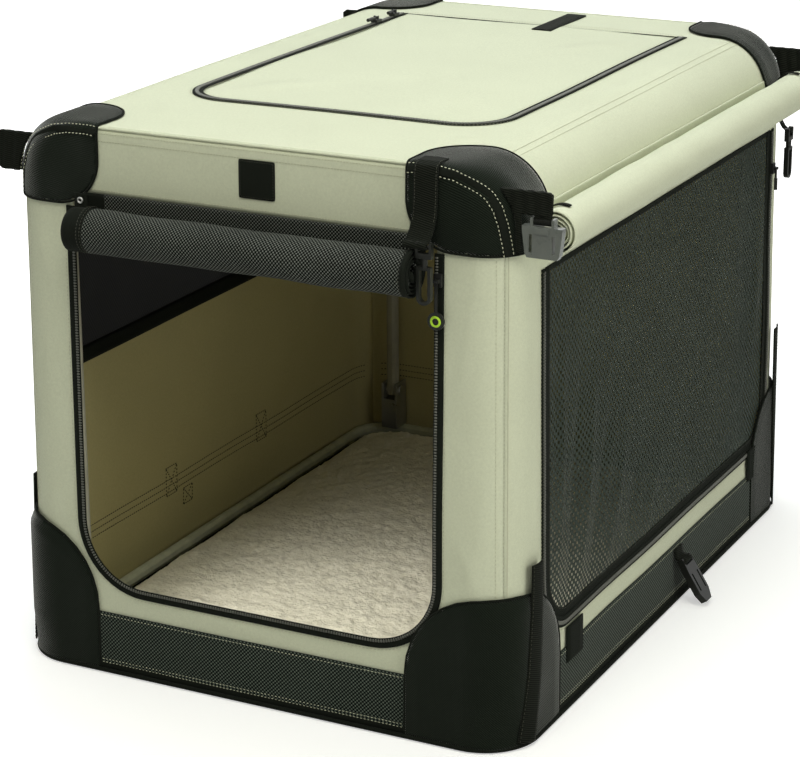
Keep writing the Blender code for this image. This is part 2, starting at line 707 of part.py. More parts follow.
def build_catch(side, sign):
    """A clip round the top frame's front bar, with a jaw, open behind, for the hoop's bar."""
    x_low = sign * CATCH_OFFSET - CATCH_WIDTH / 2
    x_high = x_low + CATCH_WIDTH
    front = -HOOP_PLANE - TUBE_RADIUS - GAP - COLLAR_WALL + 0.0004
    part_line = (RAIL_Z + FRONT_BAR_Z) / 2
    catch = box("front_catch_" + side, (x_low, front, part_line - 0.001),
                (x_high, -HOOP_PLANE + RAIL_RADIUS + GAP + COLLAR_WALL,
                 RAIL_Z + RAIL_RADIUS + GAP + COLLAR_WALL), parts)
    jaw = box("jaw_" + side, (x_low, front, FRONT_BAR_Z - TUBE_RADIUS - GAP - COLLAR_WALL),
              (x_high, -HOOP_PLANE + TUBE_RADIUS / 2, part_line))
    combine(catch, "UNION", jaw)
    seat = rod("seat_" + side, (x_low - FAR, -HOOP_PLANE, RAIL_Z), (x_high + FAR, -HOOP_PLANE, RAIL_Z),
               RAIL_RADIUS + GAP)
    mouth = slab("mouth_" + side,
                 arc((-HOOP_PLANE, FRONT_BAR_Z), TUBE_RADIUS + GAP, 90, 270, 10)
                 + [(0, FRONT_BAR_Z - TUBE_RADIUS - GAP), (0, FRONT_BAR_Z + TUBE_RADIUS + GAP)],
                 "X", x_low - FAR, x_high + FAR)
    combine(catch, "DIFFERENCE", seat, mouth)
    return finish(catch, PLASTIC_BLACK, 0.5)


# Roof

def build_roof():
    surround = shell("roof_surround", -WALL_THICKNESS, 0.0)
    limit = BASE_HALF_LENGTH + FAR
    combine(surround, "INTERSECT", box("roof_area", (-limit, -limit, WALL_TOP),
                                       (limit, limit, HEIGHT + FAR)))
    hole = u_path(FLAP_LEFT, FLAP_RIGHT, FLAP_FRONT, FLAP_REAR, FLAP_CORNER_RADIUS)
    combine(surround, "DIFFERENCE", slab("hatch", hole, "Z", HEIGHT - FAR / 4, HEIGHT + FAR))
    finish(surround, CREAM)
    leaf = u_path(FLAP_LEFT + GAP, FLAP_RIGHT - GAP, FLAP_FRONT + GAP, FLAP_REAR - GAP,
                  FLAP_CORNER_RADIUS - GAP)
    flap = slab("roof_flap", leaf, "Z", HEIGHT - WALL_THICKNESS, HEIGHT, parts)
    finish(flap, CREAM)
    carry(pivot("roof_flap_hinge", (0, FLAP_REAR, HEIGHT)), flap)
    strap = box("roof_strap", (ROOF_STRAP_CENTRE - WEBBING_WIDTH / 2, ROOF_STRAP_FRONT,
                               HEIGHT + FIRST_LAYER[0]),
                (ROOF_STRAP_CENTRE + WEBBING_WIDTH / 2, ROOF_STRAP_REAR, HEIGHT + FIRST_LAYER[1]), parts)
    finish(strap, WEBBING_BLACK)
    return [surround, strap]


def build_top_caps():
    caps = []
    for end, sign_y in (("front", -1), ("rear", 1)):
        for side, sign_x in (("left", -1), ("right", 1)):
            label = end + "_" + side
            cap = shell("top_cap_" + label, *FIRST_LAYER)
            low = HEIGHT - TOP_CAP_DROP
            across = cap_outline(sign_x * (BASE_HALF_WIDTH - TOP_CAP_REACH),
                                 sign_x * (BASE_HALF_WIDTH + FAR), low, HEIGHT + FAR,
                                 TOP_CAP_ROUNDING, False)
            along = cap_outline(sign_y * (BASE_HALF_LENGTH - TOP_CAP_DEPTH),
                                sign_y * (BASE_HALF_LENGTH + FAR), low, HEIGHT + FAR,
                                TOP_CAP_ROUNDING, False)
            limit = BASE_HALF_LENGTH + FAR
            combine(cap, "INTERSECT", slab("cap_across_" + label, across, "Y", -limit, limit),
                    slab("cap_along_" + label, along, "X", -limit, limit))
            quarter = box("cap_quarter_" + label, (min(0, sign_x), min(0, sign_y), -FAR),
                          (max(0, sign_x), max(0, sign_y), HEIGHT + FAR))
            combine(cap, "INTERSECT", quarter)
            caps.append(finish(cap, TWILL))
    return caps


# Rolls

def front_roll_centre():
    wall = half_length(FRONT_ROLL_HEIGHT) + FIRST_LAYER[1]
    return -(wall + FRONT_ROLL_RADIUS + 2 * GAP)


def side_roll_centre():
    wall = half_width(SIDE_ROLL_HEIGHT) + SECOND_LAYER[1]
    return wall + SIDE_ROLL_RADIUS + 2 * GAP


def build_front_roll():
    centre = front_roll_centre()
    path = [(-u, z) for u, z in roll_path((-centre, FRONT_ROLL_HEIGHT), FRONT_ROLL_RADIUS,
                                          FRONT_ROLL_HEIGHT + GAP)]
    roll = slab("front_door_roll", ribbon(path, ROLL_FABRIC), "X", FRONT_ROLL_LEFT,
                FRONT_ROLL_RIGHT, parts)
    tail_y = path[-1][0]
    seam_y = -half_length(WALL_TOP) + WALL_THICKNESS / 2
    tail_path = [(tail_y, FRONT_ROLL_HEIGHT - FRONT_ROLL_RADIUS / 4),
                 (tail_y, FRONT_ROLL_HEIGHT + FRONT_ROLL_RADIUS / 2),
                 (seam_y, WALL_TOP - FRONT_ROLL_RADIUS / 2), (seam_y, WALL_TOP - GAP)]
    tail = slab("front_tail", ribbon(tail_path, ROLL_FABRIC * 0.9), "X",
                -DOORWAY_HALF_WIDTH + 2 * GAP, FRONT_ROLL_RIGHT - GAP)
    combine(roll, "UNION", tail)
    return finish(roll, MESH_GREY)


def build_side_roll():
    centre = side_roll_centre()
    path = roll_path((centre, SIDE_ROLL_HEIGHT), SIDE_ROLL_RADIUS, SIDE_ROLL_HEIGHT + GAP)
    roll = slab("side_cover_roll", ribbon(path, ROLL_FABRIC), "Y", SIDE_ROLL_FRONT,
                SIDE_ROLL_REAR, parts)
    tail_x = path[-1][0]
    seam_x = half_width(EDGE_CENTRE_Z) + FIRST_LAYER[0] + ROLL_FABRIC / 2
    tail_path = [(tail_x, SIDE_ROLL_HEIGHT - SIDE_ROLL_RADIUS / 4),
                 (tail_x, SIDE_ROLL_HEIGHT + SIDE_ROLL_RADIUS / 2),
                 (seam_x, WALL_TOP + SIDE_ROLL_RADIUS / 4), (seam_x, EDGE_CENTRE_Z + ROLL_FABRIC)]
    tail = slab("side_tail", ribbon(tail_path, ROLL_FABRIC * 0.9), "Y",
                SIDE_ROLL_FRONT + GAP, BASE_HALF_LENGTH - TOP_CAP_DEPTH - 2 * GAP)
    combine(roll, "UNION", tail)
    return finish(roll, CREAM)


def build_side_door():
    """A mesh sheet that fills the opening, slack in soft upright folds at its lower front."""
    columns, rows = 40, 8
    bm = bmesh.new()
    grid = []
    margin = 2 * GAP
    for i in range(columns + 1):
        y = SIDE_DOOR_FRONT - margin + (SIDE_DOOR_REAR - SIDE_DOOR_FRONT + 2 * margin) * i / columns
        line = []
        for j in range(rows + 1):
            z = SIDE_DOOR_BOTTOM - margin + (SIDE_DOOR_TOP - SIDE_DOOR_BOTTOM + 2 * margin) * j / rows
            along, up = i / columns, j / rows
            slack = math.sin(math.pi * along) * math.sin(math.pi * up) ** 0.7
            fold = 0.5 - 0.5 * math.cos(2 * math.pi * (7 * along + 0.6 * up))
            depth = SIDE_DOOR_FOLD_DEPTH * slack * fold * (1 - 0.6 * along)
            line.append(bm.verts.new((half_width(z) - GAP - depth, y, z)))
        grid.append(line)
    for i in range(columns):
        for j in range(rows):
            bm.faces.new((grid[i][j], grid[i + 1][j], grid[i + 1][j + 1], grid[i][j + 1]))
    door = link_mesh("side_door", bm, parts)
    skin = door.modifiers.new("Solidify", "SOLIDIFY")
    skin.thickness = SIDE_DOOR_THICKNESS
    skin.offset = -1 if door.data.polygons[0].normal.x > 0 else 1
    outline = u_path(SIDE_DOOR_FRONT + GAP, SIDE_DOOR_REAR - GAP, SIDE_DOOR_BOTTOM + GAP,
                     SIDE_DOOR_TOP - GAP, SIDE_DOOR_CORNER_RADIUS - GAP)
    combine(door, "INTERSECT", slab("door_area", outline, "X", 0, BASE_HALF_WIDTH + FAR))
    finish(door, MESH_GREY)
    carry(pivot("side_door_hinge", (half_width(SIDE_DOOR_TOP), 0, SIDE_DOOR_TOP)), door)


# Zip sliders, drawn with x across the tape, y along it and z off it

def build_slider(name, place):
    low = SLIDER_LENGTH / 2
    top = GAP + SLIDER_THICKNESS
    slider = box(name, (-SLIDER_WIDTH / 2, -low, GAP), (SLIDER_WIDTH / 2, low, top), parts)
    pin_z = slider_pin_height()
    for sign in (-1, 1):
        inner = sign * (PULL_WIDTH / 2 + GAP)
        outer = sign * (PULL_WIDTH / 2 + GAP + 0.0010)
        ear = box(name + "_ear", (min(inner, outer), -PULL_EYE_RADIUS, top - GAP),
                  (max(inner, outer), PULL_EYE_RADIUS, top + EAR_HEIGHT))
        ear.matrix_world = place
        combine(slider, "UNION", ear)
    pin = rod(name + "_pin", (-PULL_WIDTH / 2 - GAP - 0.0005, 0, pin_z),
              (PULL_WIDTH / 2 + GAP + 0.0005, 0, pin_z), PULL_PIN_RADIUS, 10)
    pin.matrix_world = place
    combine(slider, "UNION", pin)
    slider.matrix_world = place
    return finish(slider, STEEL, 0.35, 0.8)


def slider_pin_height():
    return GAP + SLIDER_THICKNESS + EAR_HEIGHT - PULL_EYE_RADIUS - GAP


def build_pull(name, place, stem_length, disc_radius):
    """A pull whose eye turns on the slider's pin, lying along -y, with a disc or a bead end."""
    pin_z = slider_pin_height()
    pull = rod(name, (-PULL_WIDTH / 2, 0, pin_z), (PULL_WIDTH / 2, 0, pin_z), PULL_EYE_RADIUS, 14,
               parts)
    stem = box(name + "_stem", (-PULL_WIDTH / 2 + GAP, -stem_length, pin_z - PULL_EYE_RADIUS / 2),
               (PULL_WIDTH / 2 - GAP, -PULL_EYE_RADIUS / 2, pin_z + PULL_EYE_RADIUS / 2))
    if disc_radius:
        end = rod(name + "_disc", (0, -stem_length - disc_radius * 0.9, pin_z - PULL_EYE_RADIUS * 0.7),
                  (0, -stem_length - disc_radius * 0.9, pin_z + PULL_EYE_RADIUS * 0.7), disc_radius, 28)
    else:
        end = rod(name + "_bead", (0, -stem_length * 0.45, pin_z), (0, -stem_length - GAP, pin_z),
                  PULL_EYE_RADIUS * 1.2, 12)
    bore = rod(name + "_bore", (-PULL_WIDTH, 0, pin_z), (PULL_WIDTH, 0, pin_z),
               PULL_PIN_RADIUS + GAP, 12)
    for tool in (stem, end, bore):
        tool.matrix_world = place
    combine(pull, "UNION", stem, end)
    combine(pull, "DIFFERENCE", bore)
    pull.matrix_world = place
    return finish(pull, PLASTIC_BLACK, 0.6)


def place_frame(origin, across, along, out):
    columns = [Vector(across), Vector(along), Vector(out)]
    matrix = Matrix([[column[row] for column in columns] for row in range(3)]).to_4x4()
    return Matrix.Translation(Vector(origin)) @ matrix


def build_zip_sliders():
    moving = []
    tape = FIRST_LAYER[1]
    centre = TAPE_WIDTH / 2 + GAP
    front_z = WALL_TOP - FRONT_SLIDER_DROP
    slope = WALL_LEAN / HEIGHT
    front = place_frame((DOORWAY_HALF_WIDTH + centre, -half_length(front_z) - tape, front_z),
                        (1, 0, 0), Vector((0, slope, 1)).normalized(),
                        Vector((0, -1, slope)).normalized())
    side_z = SIDE_DOOR_TOP - SIDE_SLIDER_DROP
    side = place_frame((half_width(side_z) + tape, SIDE_DOOR_REAR + centre, side_z),
                       (0, 1, 0), Vector((-slope, 0, 1)).normalized(),
                       Vector((1, 0, slope)).normalized())
    sliders = [("front", front, 0.032, 0.009), ("side", side, 0.026, 0.0)]
    for label, distance in (("roof_rear", 0.026), ("roof_front", 0.074)):
        roof = place_frame((FLAP_LEFT - centre, FLAP_REAR - distance, HEIGHT + tape),
                           (1, 0, 0), (0, 1, 0), (0, 0, 1))
        sliders.append((label, roof, 0.022 if label == "roof_front" else 0.016, 0.0))
    for label, place, stem, disc in sliders:
        slider = build_slider(label + "_slider", place)
        pull = build_pull(label + "_pull", place, stem, disc)
        carry(pivot(label + "_slider_path", place.translation), slider)
        carry(pivot(label + "_pull_hinge", place @ Vector((0, 0, slider_pin_height()))), pull)


# Straps, hooks and buckles, drawn with x across, y up and z off the crate

def webbing_eye(piece, place, half):
    """The rolled end of a webbing piece, bored for the bar that hangs in it."""
    barrel = rod(piece.name + "_eye", (-half, 0, 0), (half, 0, 0), WEBBING_EYE_RADIUS, 14)
    bore = rod(piece.name + "_bore", (-half - FAR, 0, 0), (half + FAR, 0, 0), HUNG_BAR_RADIUS + GAP, 12)
    barrel.matrix_world = place
    bore.matrix_world = place
    combine(piece, "UNION", barrel)
    combine(piece, "DIFFERENCE", bore)


def hung_bar(name, place, half, drop, thickness):
    """A bar across two lugs, which the body of a hook or buckle hangs from."""
    outer = half + GAP + LUG_THICKNESS
    bar = rod(name, (-outer + GAP, 0, 0), (outer - GAP, 0, 0), HUNG_BAR_RADIUS, 12, parts)
    for sign in (-1, 1):
        low, high = sorted((sign * (half + GAP), sign * outer))
        lug = box(name + "_lug", (low, -drop - GAP, -thickness / 2),
                  (high, WEBBING_EYE_RADIUS, thickness / 2))
        lug.matrix_world = place
        combine(bar, "UNION", lug)
    return bar


def build_snap_hook(name, place):
    half = SIDE_STRAP_WIDTH / 2
    hook = hung_bar(name, place, half, HOOK_HEAD_DROP, HOOK_THICKNESS)
    head_bottom = -HOOK_HEAD_DROP - HOOK_HEAD_HEIGHT
    neck_bottom = head_bottom - HOOK_NECK_LENGTH
    width = half + GAP + LUG_THICKNESS
    head = box(name + "_head", (-width, head_bottom, -HOOK_THICKNESS / 2),
               (width, -HOOK_HEAD_DROP, HOOK_THICKNESS / 2))
    neck = rod(name + "_neck", (0, neck_bottom - GAP, 0), (0, head_bottom + GAP, 0), HOOK_NECK_RADIUS, 14)
    outer = HOOK_WIDTH / 2 * 0.85
    inner = outer - HOOK_WALL
    bottom = -HOOK_LENGTH
    ring = slab(name + "_ring", u_path(-outer, outer, bottom, neck_bottom, outer * 0.98), "Z",
                -HOOK_THICKNESS / 2, HOOK_THICKNESS / 2)
    hollow = slab(name + "_hollow", u_path(-inner, inner, bottom + HOOK_WALL, neck_bottom - HOOK_WALL,
                                           inner * 0.98), "Z", -FAR, FAR)
    for tool in (head, neck, ring, hollow):
        tool.matrix_world = place @ tool.matrix_world
    combine(hook, "UNION", head, neck, ring)
    combine(hook, "DIFFERENCE", hollow)
    hook.matrix_world = place
    finish(hook, PLASTIC_BLACK, 0.45)
    carry(pivot(name + "_hinge", place.translation), hook)


def build_front_strap():
    x = FRONT_STRAP_CENTRE
    off = SECOND_LAYER[0] + WEBBING_THICKNESS / 2
    seam_z = HEIGHT - FRONT_EDGE_RADIUS
    bend_z = WALL_TOP + WEBBING_WIDTH
    low_y = -half_length(WALL_TOP) - off
    bar_y = low_y - FRONT_HOOK_STAND_OFF
    path = [(-half_length(seam_z) - off, seam_z), (-half_length(bend_z) - off, bend_z),
            (bar_y, FRONT_HOOK_TOP)]
    strap = slab("front_strap", ribbon(path, WEBBING_THICKNESS), "X", x - WEBBING_WIDTH / 2,
                 x + WEBBING_WIDTH / 2 + FRONT_HOOK_CENTRE, parts)
    half = SIDE_STRAP_WIDTH / 2
    taper_z = FRONT_HOOK_TOP + WEBBING_WIDTH / 2
    limit = seam_z + FAR
    shape = [(x - WEBBING_WIDTH / 2, limit), (x - WEBBING_WIDTH / 2, bend_z + WEBBING_WIDTH / 2),
             (FRONT_HOOK_CENTRE - half, taper_z), (FRONT_HOOK_CENTRE - half, 0),
             (FRONT_HOOK_CENTRE + half, 0), (FRONT_HOOK_CENTRE + half, taper_z),
             (x + WEBBING_WIDTH / 2, bend_z + WEBBING_WIDTH / 2), (x + WEBBING_WIDTH / 2, limit)]
    combine(strap, "INTERSECT", slab("front_strap_width", shape, "Y", -BASE_HALF_LENGTH - FAR, 0))
    place = place_frame((FRONT_HOOK_CENTRE, bar_y, FRONT_HOOK_TOP), (1, 0, 0), (0, 0, 1), (0, -1, 0))
    webbing_eye(strap, place, half)
    build_snap_hook("front_hook", place)
    return finish(strap, WEBBING_BLACK)


def build_side_strap():
    off = SECOND_LAYER[0] + WEBBING_THICKNESS / 2
    low = SIDE_ROLL_HEIGHT - SIDE_ROLL_RADIUS
    bar_x = half_width(SIDE_HOOK_TOP) + SIDE_HOOK_STAND_OFF
    path = [(half_width(WALL_TOP) + off, WALL_TOP), (half_width(low) + off, low),
            (bar_x, SIDE_HOOK_TOP)]
    half = SIDE_STRAP_WIDTH / 2
    strap = slab("side_strap", ribbon(path, WEBBING_THICKNESS), "Y", SIDE_STRAP_CENTRE - half,
                 SIDE_STRAP_CENTRE + half, parts)
    place = place_frame((bar_x, SIDE_STRAP_CENTRE, SIDE_HOOK_TOP), (0, 1, 0), (0, 0, 1), (1, 0, 0))
    webbing_eye(strap, place, half)
    build_snap_hook("side_hook", place)
    return finish(strap, WEBBING_BLACK)


def build_corner_loop(label, sign_x, sign_y, with_eye):
    """A doubled webbing tab that stands out of the cap, parallel to the crate's end."""
    plane = sign_y * CORNER_LOOP_PLANE
    root = half_width(CORNER_LOOP_TOP) - ROOF_EDGE_RADIUS
    reach = CORNER_LOOP_REACH
    outline = [(root, CORNER_LOOP_TOP), (reach, CORNER_LOOP_TOP - WEBBING_THICKNESS)]
    if with_eye:
        inner = reach - 2 * (SIDE_STRAP_WIDTH / 2 + WEBBING_EYE_RADIUS)
        step = CORNER_BAR_HEIGHT + 3 * WEBBING_EYE_RADIUS
        outline += [(reach, CORNER_BAR_HEIGHT), (inner, CORNER_BAR_HEIGHT), (inner, step), (root, step)]
    else:
        outline += [(reach, CORNER_LOOP_BOTTOM), (root, CORNER_LOOP_BOTTOM)]
    outline = [(sign_x * x, z) for x, z in outline]
    tab = slab("corner_loop_" + label, outline, "Y", plane - WEBBING_THICKNESS,
               plane + WEBBING_THICKNESS, parts)
    if with_eye:
        half = (reach - inner) / 2
        place = place_frame((inner + half, plane, CORNER_BAR_HEIGHT), (1, 0, 0), (0, 0, 1), (0, -1, 0))
        webbing_eye(tab, place, half)
        build_corner_buckle(place, half)
    combine(tab, "DIFFERENCE", shell_core("core_" + label, FIRST_LAYER[1] + GAP))
    return finish(tab, WEBBING_BLACK)


def build_corner_buckle(place, half):
    """The socket half of a side-release buckle, hanging mouth down."""
    name = "corner_buckle_right"
    drop = WEBBING_EYE_RADIUS + 2 * GAP
    thin = CORNER_BUCKLE_THICKNESS / 2
    buckle = hung_bar(name, place, half, drop, CORNER_BUCKLE_THICKNESS)
    wide = CORNER_BUCKLE_WIDTH / 2
    bottom = -drop - CORNER_BUCKLE_LENGTH
    outline = [(-wide, -drop), (-wide, -drop - 0.004), (-wide * 0.86, bottom + 0.004),
               (-wide * 0.76, bottom), (wide * 0.76, bottom), (wide * 0.86, bottom + 0.004),
               (wide, -drop - 0.004), (wide, -drop)]
    body = slab(name + "_body", outline, "Z", -thin, thin)
    boss = box(name + "_boss", (-wide * 0.35, -drop - 0.007, thin - GAP),
               (wide * 0.35, -drop - 0.001, thin + 0.0014))
    cuts = []
    for sign in (-1, 1):
        inner = wide * 0.86 - BUCKLE_RAIL_WIDTH - BUCKLE_SLOT_WIDTH
        low, high = sorted((sign * inner, sign * (inner + BUCKLE_SLOT_WIDTH)))
        cuts.append(box(name + "_side_slot", (low, bottom + 0.005, -FAR), (high, -drop - 0.008, FAR)))
    mouth_half = wide * 0.86 - BUCKLE_RAIL_WIDTH - BUCKLE_SLOT_WIDTH - 0.0015
    cuts.append(box(name + "_mouth", (-mouth_half, bottom - FAR, -thin + 0.0018),
                    (mouth_half, bottom + CORNER_BUCKLE_LENGTH * 0.62, thin - 0.0018)))
    for tool in [body, boss] + cuts:
        tool.matrix_world = place @ tool.matrix_world
    combine(buckle, "UNION", body, boss)
    combine(buckle, "DIFFERENCE", *cuts)
    buckle.matrix_world = place
    finish(buckle, PLASTIC_BLACK, 0.35)
    carry(pivot(name + "_hinge", place.translation), buckle)


def build_belt_buckle():
    """A webbing patch on the right belt, and a plug half that leans out towards the floor."""
    y = BELT_LOOP_CENTRE
    surface = half_width(0) + FIRST_LAYER[1] + GAP
    half = WEBBING_WIDTH / 2
    eye_half = half - LUG_THICKNESS
    patch = box("belt_loop_right", (surface, y - half, BELT_LOOP_TOP - WEBBING_WIDTH),
                (surface + 2 * WEBBING_THICKNESS, y + half, BELT_LOOP_TOP), parts)
    bar_z = BELT_LOOP_TOP - WEBBING_EYE_RADIUS
    bar_x = surface + 2 * WEBBING_THICKNESS + WEBBING_EYE_RADIUS + 8 * GAP
    neck = box("belt_neck", (surface + WEBBING_THICKNESS, y - eye_half, BELT_LOOP_TOP - WEBBING_THICKNESS),
               (bar_x, y + eye_half, BELT_LOOP_TOP))
    combine(patch, "UNION", neck)
    place = place_frame((bar_x, y, bar_z), (0, 1, 0), (0, 0, 1), (1, 0, 0))
    webbing_eye(patch, place, eye_half)
    finish(patch, WEBBING_BLACK)
    place = place @ Matrix.Rotation(math.radians(-BELT_BUCKLE_TILT), 4, "X")
    name = "belt_buckle_right"
    drop = WEBBING_EYE_RADIUS + 4 * GAP
    thin = BELT_BUCKLE_THICKNESS / 2
    buckle = hung_bar(name, place, eye_half, drop, BELT_BUCKLE_THICKNESS)
    wide = BELT_BUCKLE_WIDTH / 2
    bottom = -BELT_BUCKLE_LENGTH
    outline = [(-eye_half - LUG_THICKNESS, -drop), (-wide, -drop - 0.008), (-wide, bottom + 0.012),
               (-wide * 0.55, bottom), (wide * 0.55, bottom), (wide, bottom + 0.012),
               (wide, -drop - 0.008), (eye_half + LUG_THICKNESS, -drop)]
    body = slab(name + "_body", outline, "Z", -thin, thin)
    cuts = []
    for sign in (-1, 1):
        low, high = sorted((sign * wide * 0.45, sign * (wide * 0.45 + BUCKLE_SLOT_WIDTH)))
        cuts.append(box(name + "_slot", (low, bottom + 0.014, -FAR), (high, -drop - 0.012, FAR)))
    for tool in [body] + cuts:
        tool.matrix_world = place @ tool.matrix_world
    combine(buckle, "UNION", body)
    combine(buckle, "DIFFERENCE", *cuts)
    buckle.matrix_world = place
    finish(buckle, PLASTIC_BLACK, 0.35)
    carry(pivot(name + "_hinge", place.translation), buckle)


clear_scene()
parts = make_collection("soft_dog_crate")
cutters = make_collection("cutters")

build_floor()
build_base_frame()
for end, sign_y, leg, height in (("front", -1, FRONT_LEG_X, FRONT_PIVOT_HEIGHT),
                                 ("rear", 1, REAR_LEG_X, REAR_PIVOT_HEIGHT)):
    for side, sign_x in (("left", -1), ("right", 1)):
        build_bracket(end + "_" + side, sign_x * leg, sign_y * HOOP_PLANE, height)
build_hoop("front_hoop", FRONT_LEG_X, -HOOP_PLANE, FRONT_PIVOT_HEIGHT, FRONT_BAR_Z)
build_hoop("rear_hoop", REAR_LEG_X, HOOP_PLANE, REAR_PIVOT_HEIGHT, REAR_BAR_Z)
build_mat()
build_walls()
build_window()
build_belt()
build_bottom_caps()

build_belt_buckle()

runners = [build_runner(side, sign) for side, sign in (("left", -1), ("right", 1))]
carry(pivot("runner_hinge", (0, HOOP_PLANE, REAR_BAR_Z)), *runners)
top = [build_catch(side, sign) for side, sign in (("left", -1), ("right", 1))]
top.append(build_top_frame())
top += build_roof()
top += build_top_caps()
top += [build_front_roll(), build_side_roll(), build_front_strap(), build_side_strap()]
for end, sign_y in (("front", -1), ("rear", 1)):
    for side, sign_x in (("left", -1), ("right", 1)):
        label = end + "_" + side
        top.append(build_corner_loop(label, sign_x, sign_y, label == "front_right"))
top.append(build_zip_tapes())
carry(pivot("top_slide", (0, HOOP_PLANE, RAIL_Z)), *top)
build_side_door()
build_zip_sliders()

for tool in cutters.objects:
    tool.hide_render = True
    tool.display_type = "WIRE"
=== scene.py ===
"""Looks of the soft dog crate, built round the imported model. Metres, +Z up, doorway towards -Y."""
import math

import bmesh
import bpy
import numpy as np
from mathutils import Matrix, Vector


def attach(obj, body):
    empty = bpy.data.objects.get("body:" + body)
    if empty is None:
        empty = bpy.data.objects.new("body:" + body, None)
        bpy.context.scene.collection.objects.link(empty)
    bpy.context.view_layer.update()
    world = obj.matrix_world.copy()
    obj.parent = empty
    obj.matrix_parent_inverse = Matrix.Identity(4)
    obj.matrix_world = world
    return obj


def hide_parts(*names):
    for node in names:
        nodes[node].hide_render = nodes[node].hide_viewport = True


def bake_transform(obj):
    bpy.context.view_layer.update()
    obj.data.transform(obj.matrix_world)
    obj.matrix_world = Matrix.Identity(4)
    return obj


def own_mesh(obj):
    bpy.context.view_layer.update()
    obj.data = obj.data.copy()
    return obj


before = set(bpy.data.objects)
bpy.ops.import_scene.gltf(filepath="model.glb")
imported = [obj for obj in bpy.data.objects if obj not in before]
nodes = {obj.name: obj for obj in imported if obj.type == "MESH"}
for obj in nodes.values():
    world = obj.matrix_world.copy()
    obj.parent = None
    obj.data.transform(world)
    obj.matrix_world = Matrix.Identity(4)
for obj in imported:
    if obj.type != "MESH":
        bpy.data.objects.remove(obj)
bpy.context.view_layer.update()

# Sizes of the shell, as in the solids
WIDE, LONG, TALL, LEAN = 0.295, 0.411, 0.602, 0.010
BASE_RADIUS, TOP_RADIUS, ROOF_RADIUS, FRONT_RADIUS = 0.055, 0.040, 0.060, 0.006
WALL_LOW, WALL_TOP = 0.0038, 0.5317
EDGE_Z = TALL - ROOF_RADIUS
EDGE_X = WIDE - LEAN * EDGE_Z / TALL - ROOF_RADIUS
SIGN = {"front": -1, "rear": 1, "left": -1, "right": 1}
ENDS = ("front", "rear")
CORNERS = [(end, side) for end in ENDS for side in ("left", "right")]

# How far the first and the second layer of cloth lie over the shell
FIRST, SECOND = 0.0018, 0.0036

# Bodies whose cloth gets a mesh of its own, each with the point meant to stay in place as the cloth squashes
# with the fold and how much height is kept; only the names are read here
FOLD_ANCHOR = {"base": (0, 0, WALL_LOW), "side_door": (0.2868, 0, WALL_TOP)}
UP = (0.0, 0.0, 1.0)

# Holes: left, right, bottom and corner radius. Boxes: two corners and a radius
DOOR = (-0.206, 0.206, 0.103, 0.070)
SIDE, SIDE_TOP = (-0.324, 0.343, 0.104, 0.055), 0.492
FLAP, FLAP_REAR = (-0.176, 0.184, -0.232, 0.050), 0.300
WINDOW = ((-0.329, 0.308), (0.329, 0.509), 0.034)
WINDOW_HOLE = ((-0.325, 0.312), (0.325, 0.505), 0.030)
TAPE_OUT = 0.0053

# Camera
camera_data = bpy.data.cameras.new("camera")
camera_data.lens = 115.152
camera_data.sensor_width = 36
camera_data.clip_start = 0.05
camera_data.clip_end = 50
camera = bpy.data.objects.new("camera", camera_data)
bpy.context.scene.collection.objects.link(camera)
right = Vector((0.892539, 0.450949, -0.00429))
above = Vector((-0.138928, 0.283997, 0.948707))
back = Vector((0.429036, -0.846162, 0.316128))
turn = Matrix((right, above, back)).transposed().to_4x4()
camera.matrix_world = Matrix.Translation((1.24665, -2.53061, 1.17904)) @ turn
bpy.context.scene.camera = camera


# Materials

def add_node(tree, kind, inputs=None, **settings):
    """A shader node. Its inputs go by name or number: sockets are linked, and values are set."""
    made = tree.nodes.new("ShaderNode" + kind)
    for key, value in settings.items():
        setattr(made, key, value)
    for key, value in (inputs or {}).items():
        if isinstance(value, bpy.types.NodeSocket):
            tree.links.new(value, made.inputs[key])
        else:
            made.inputs[key].default_value = value
    return made


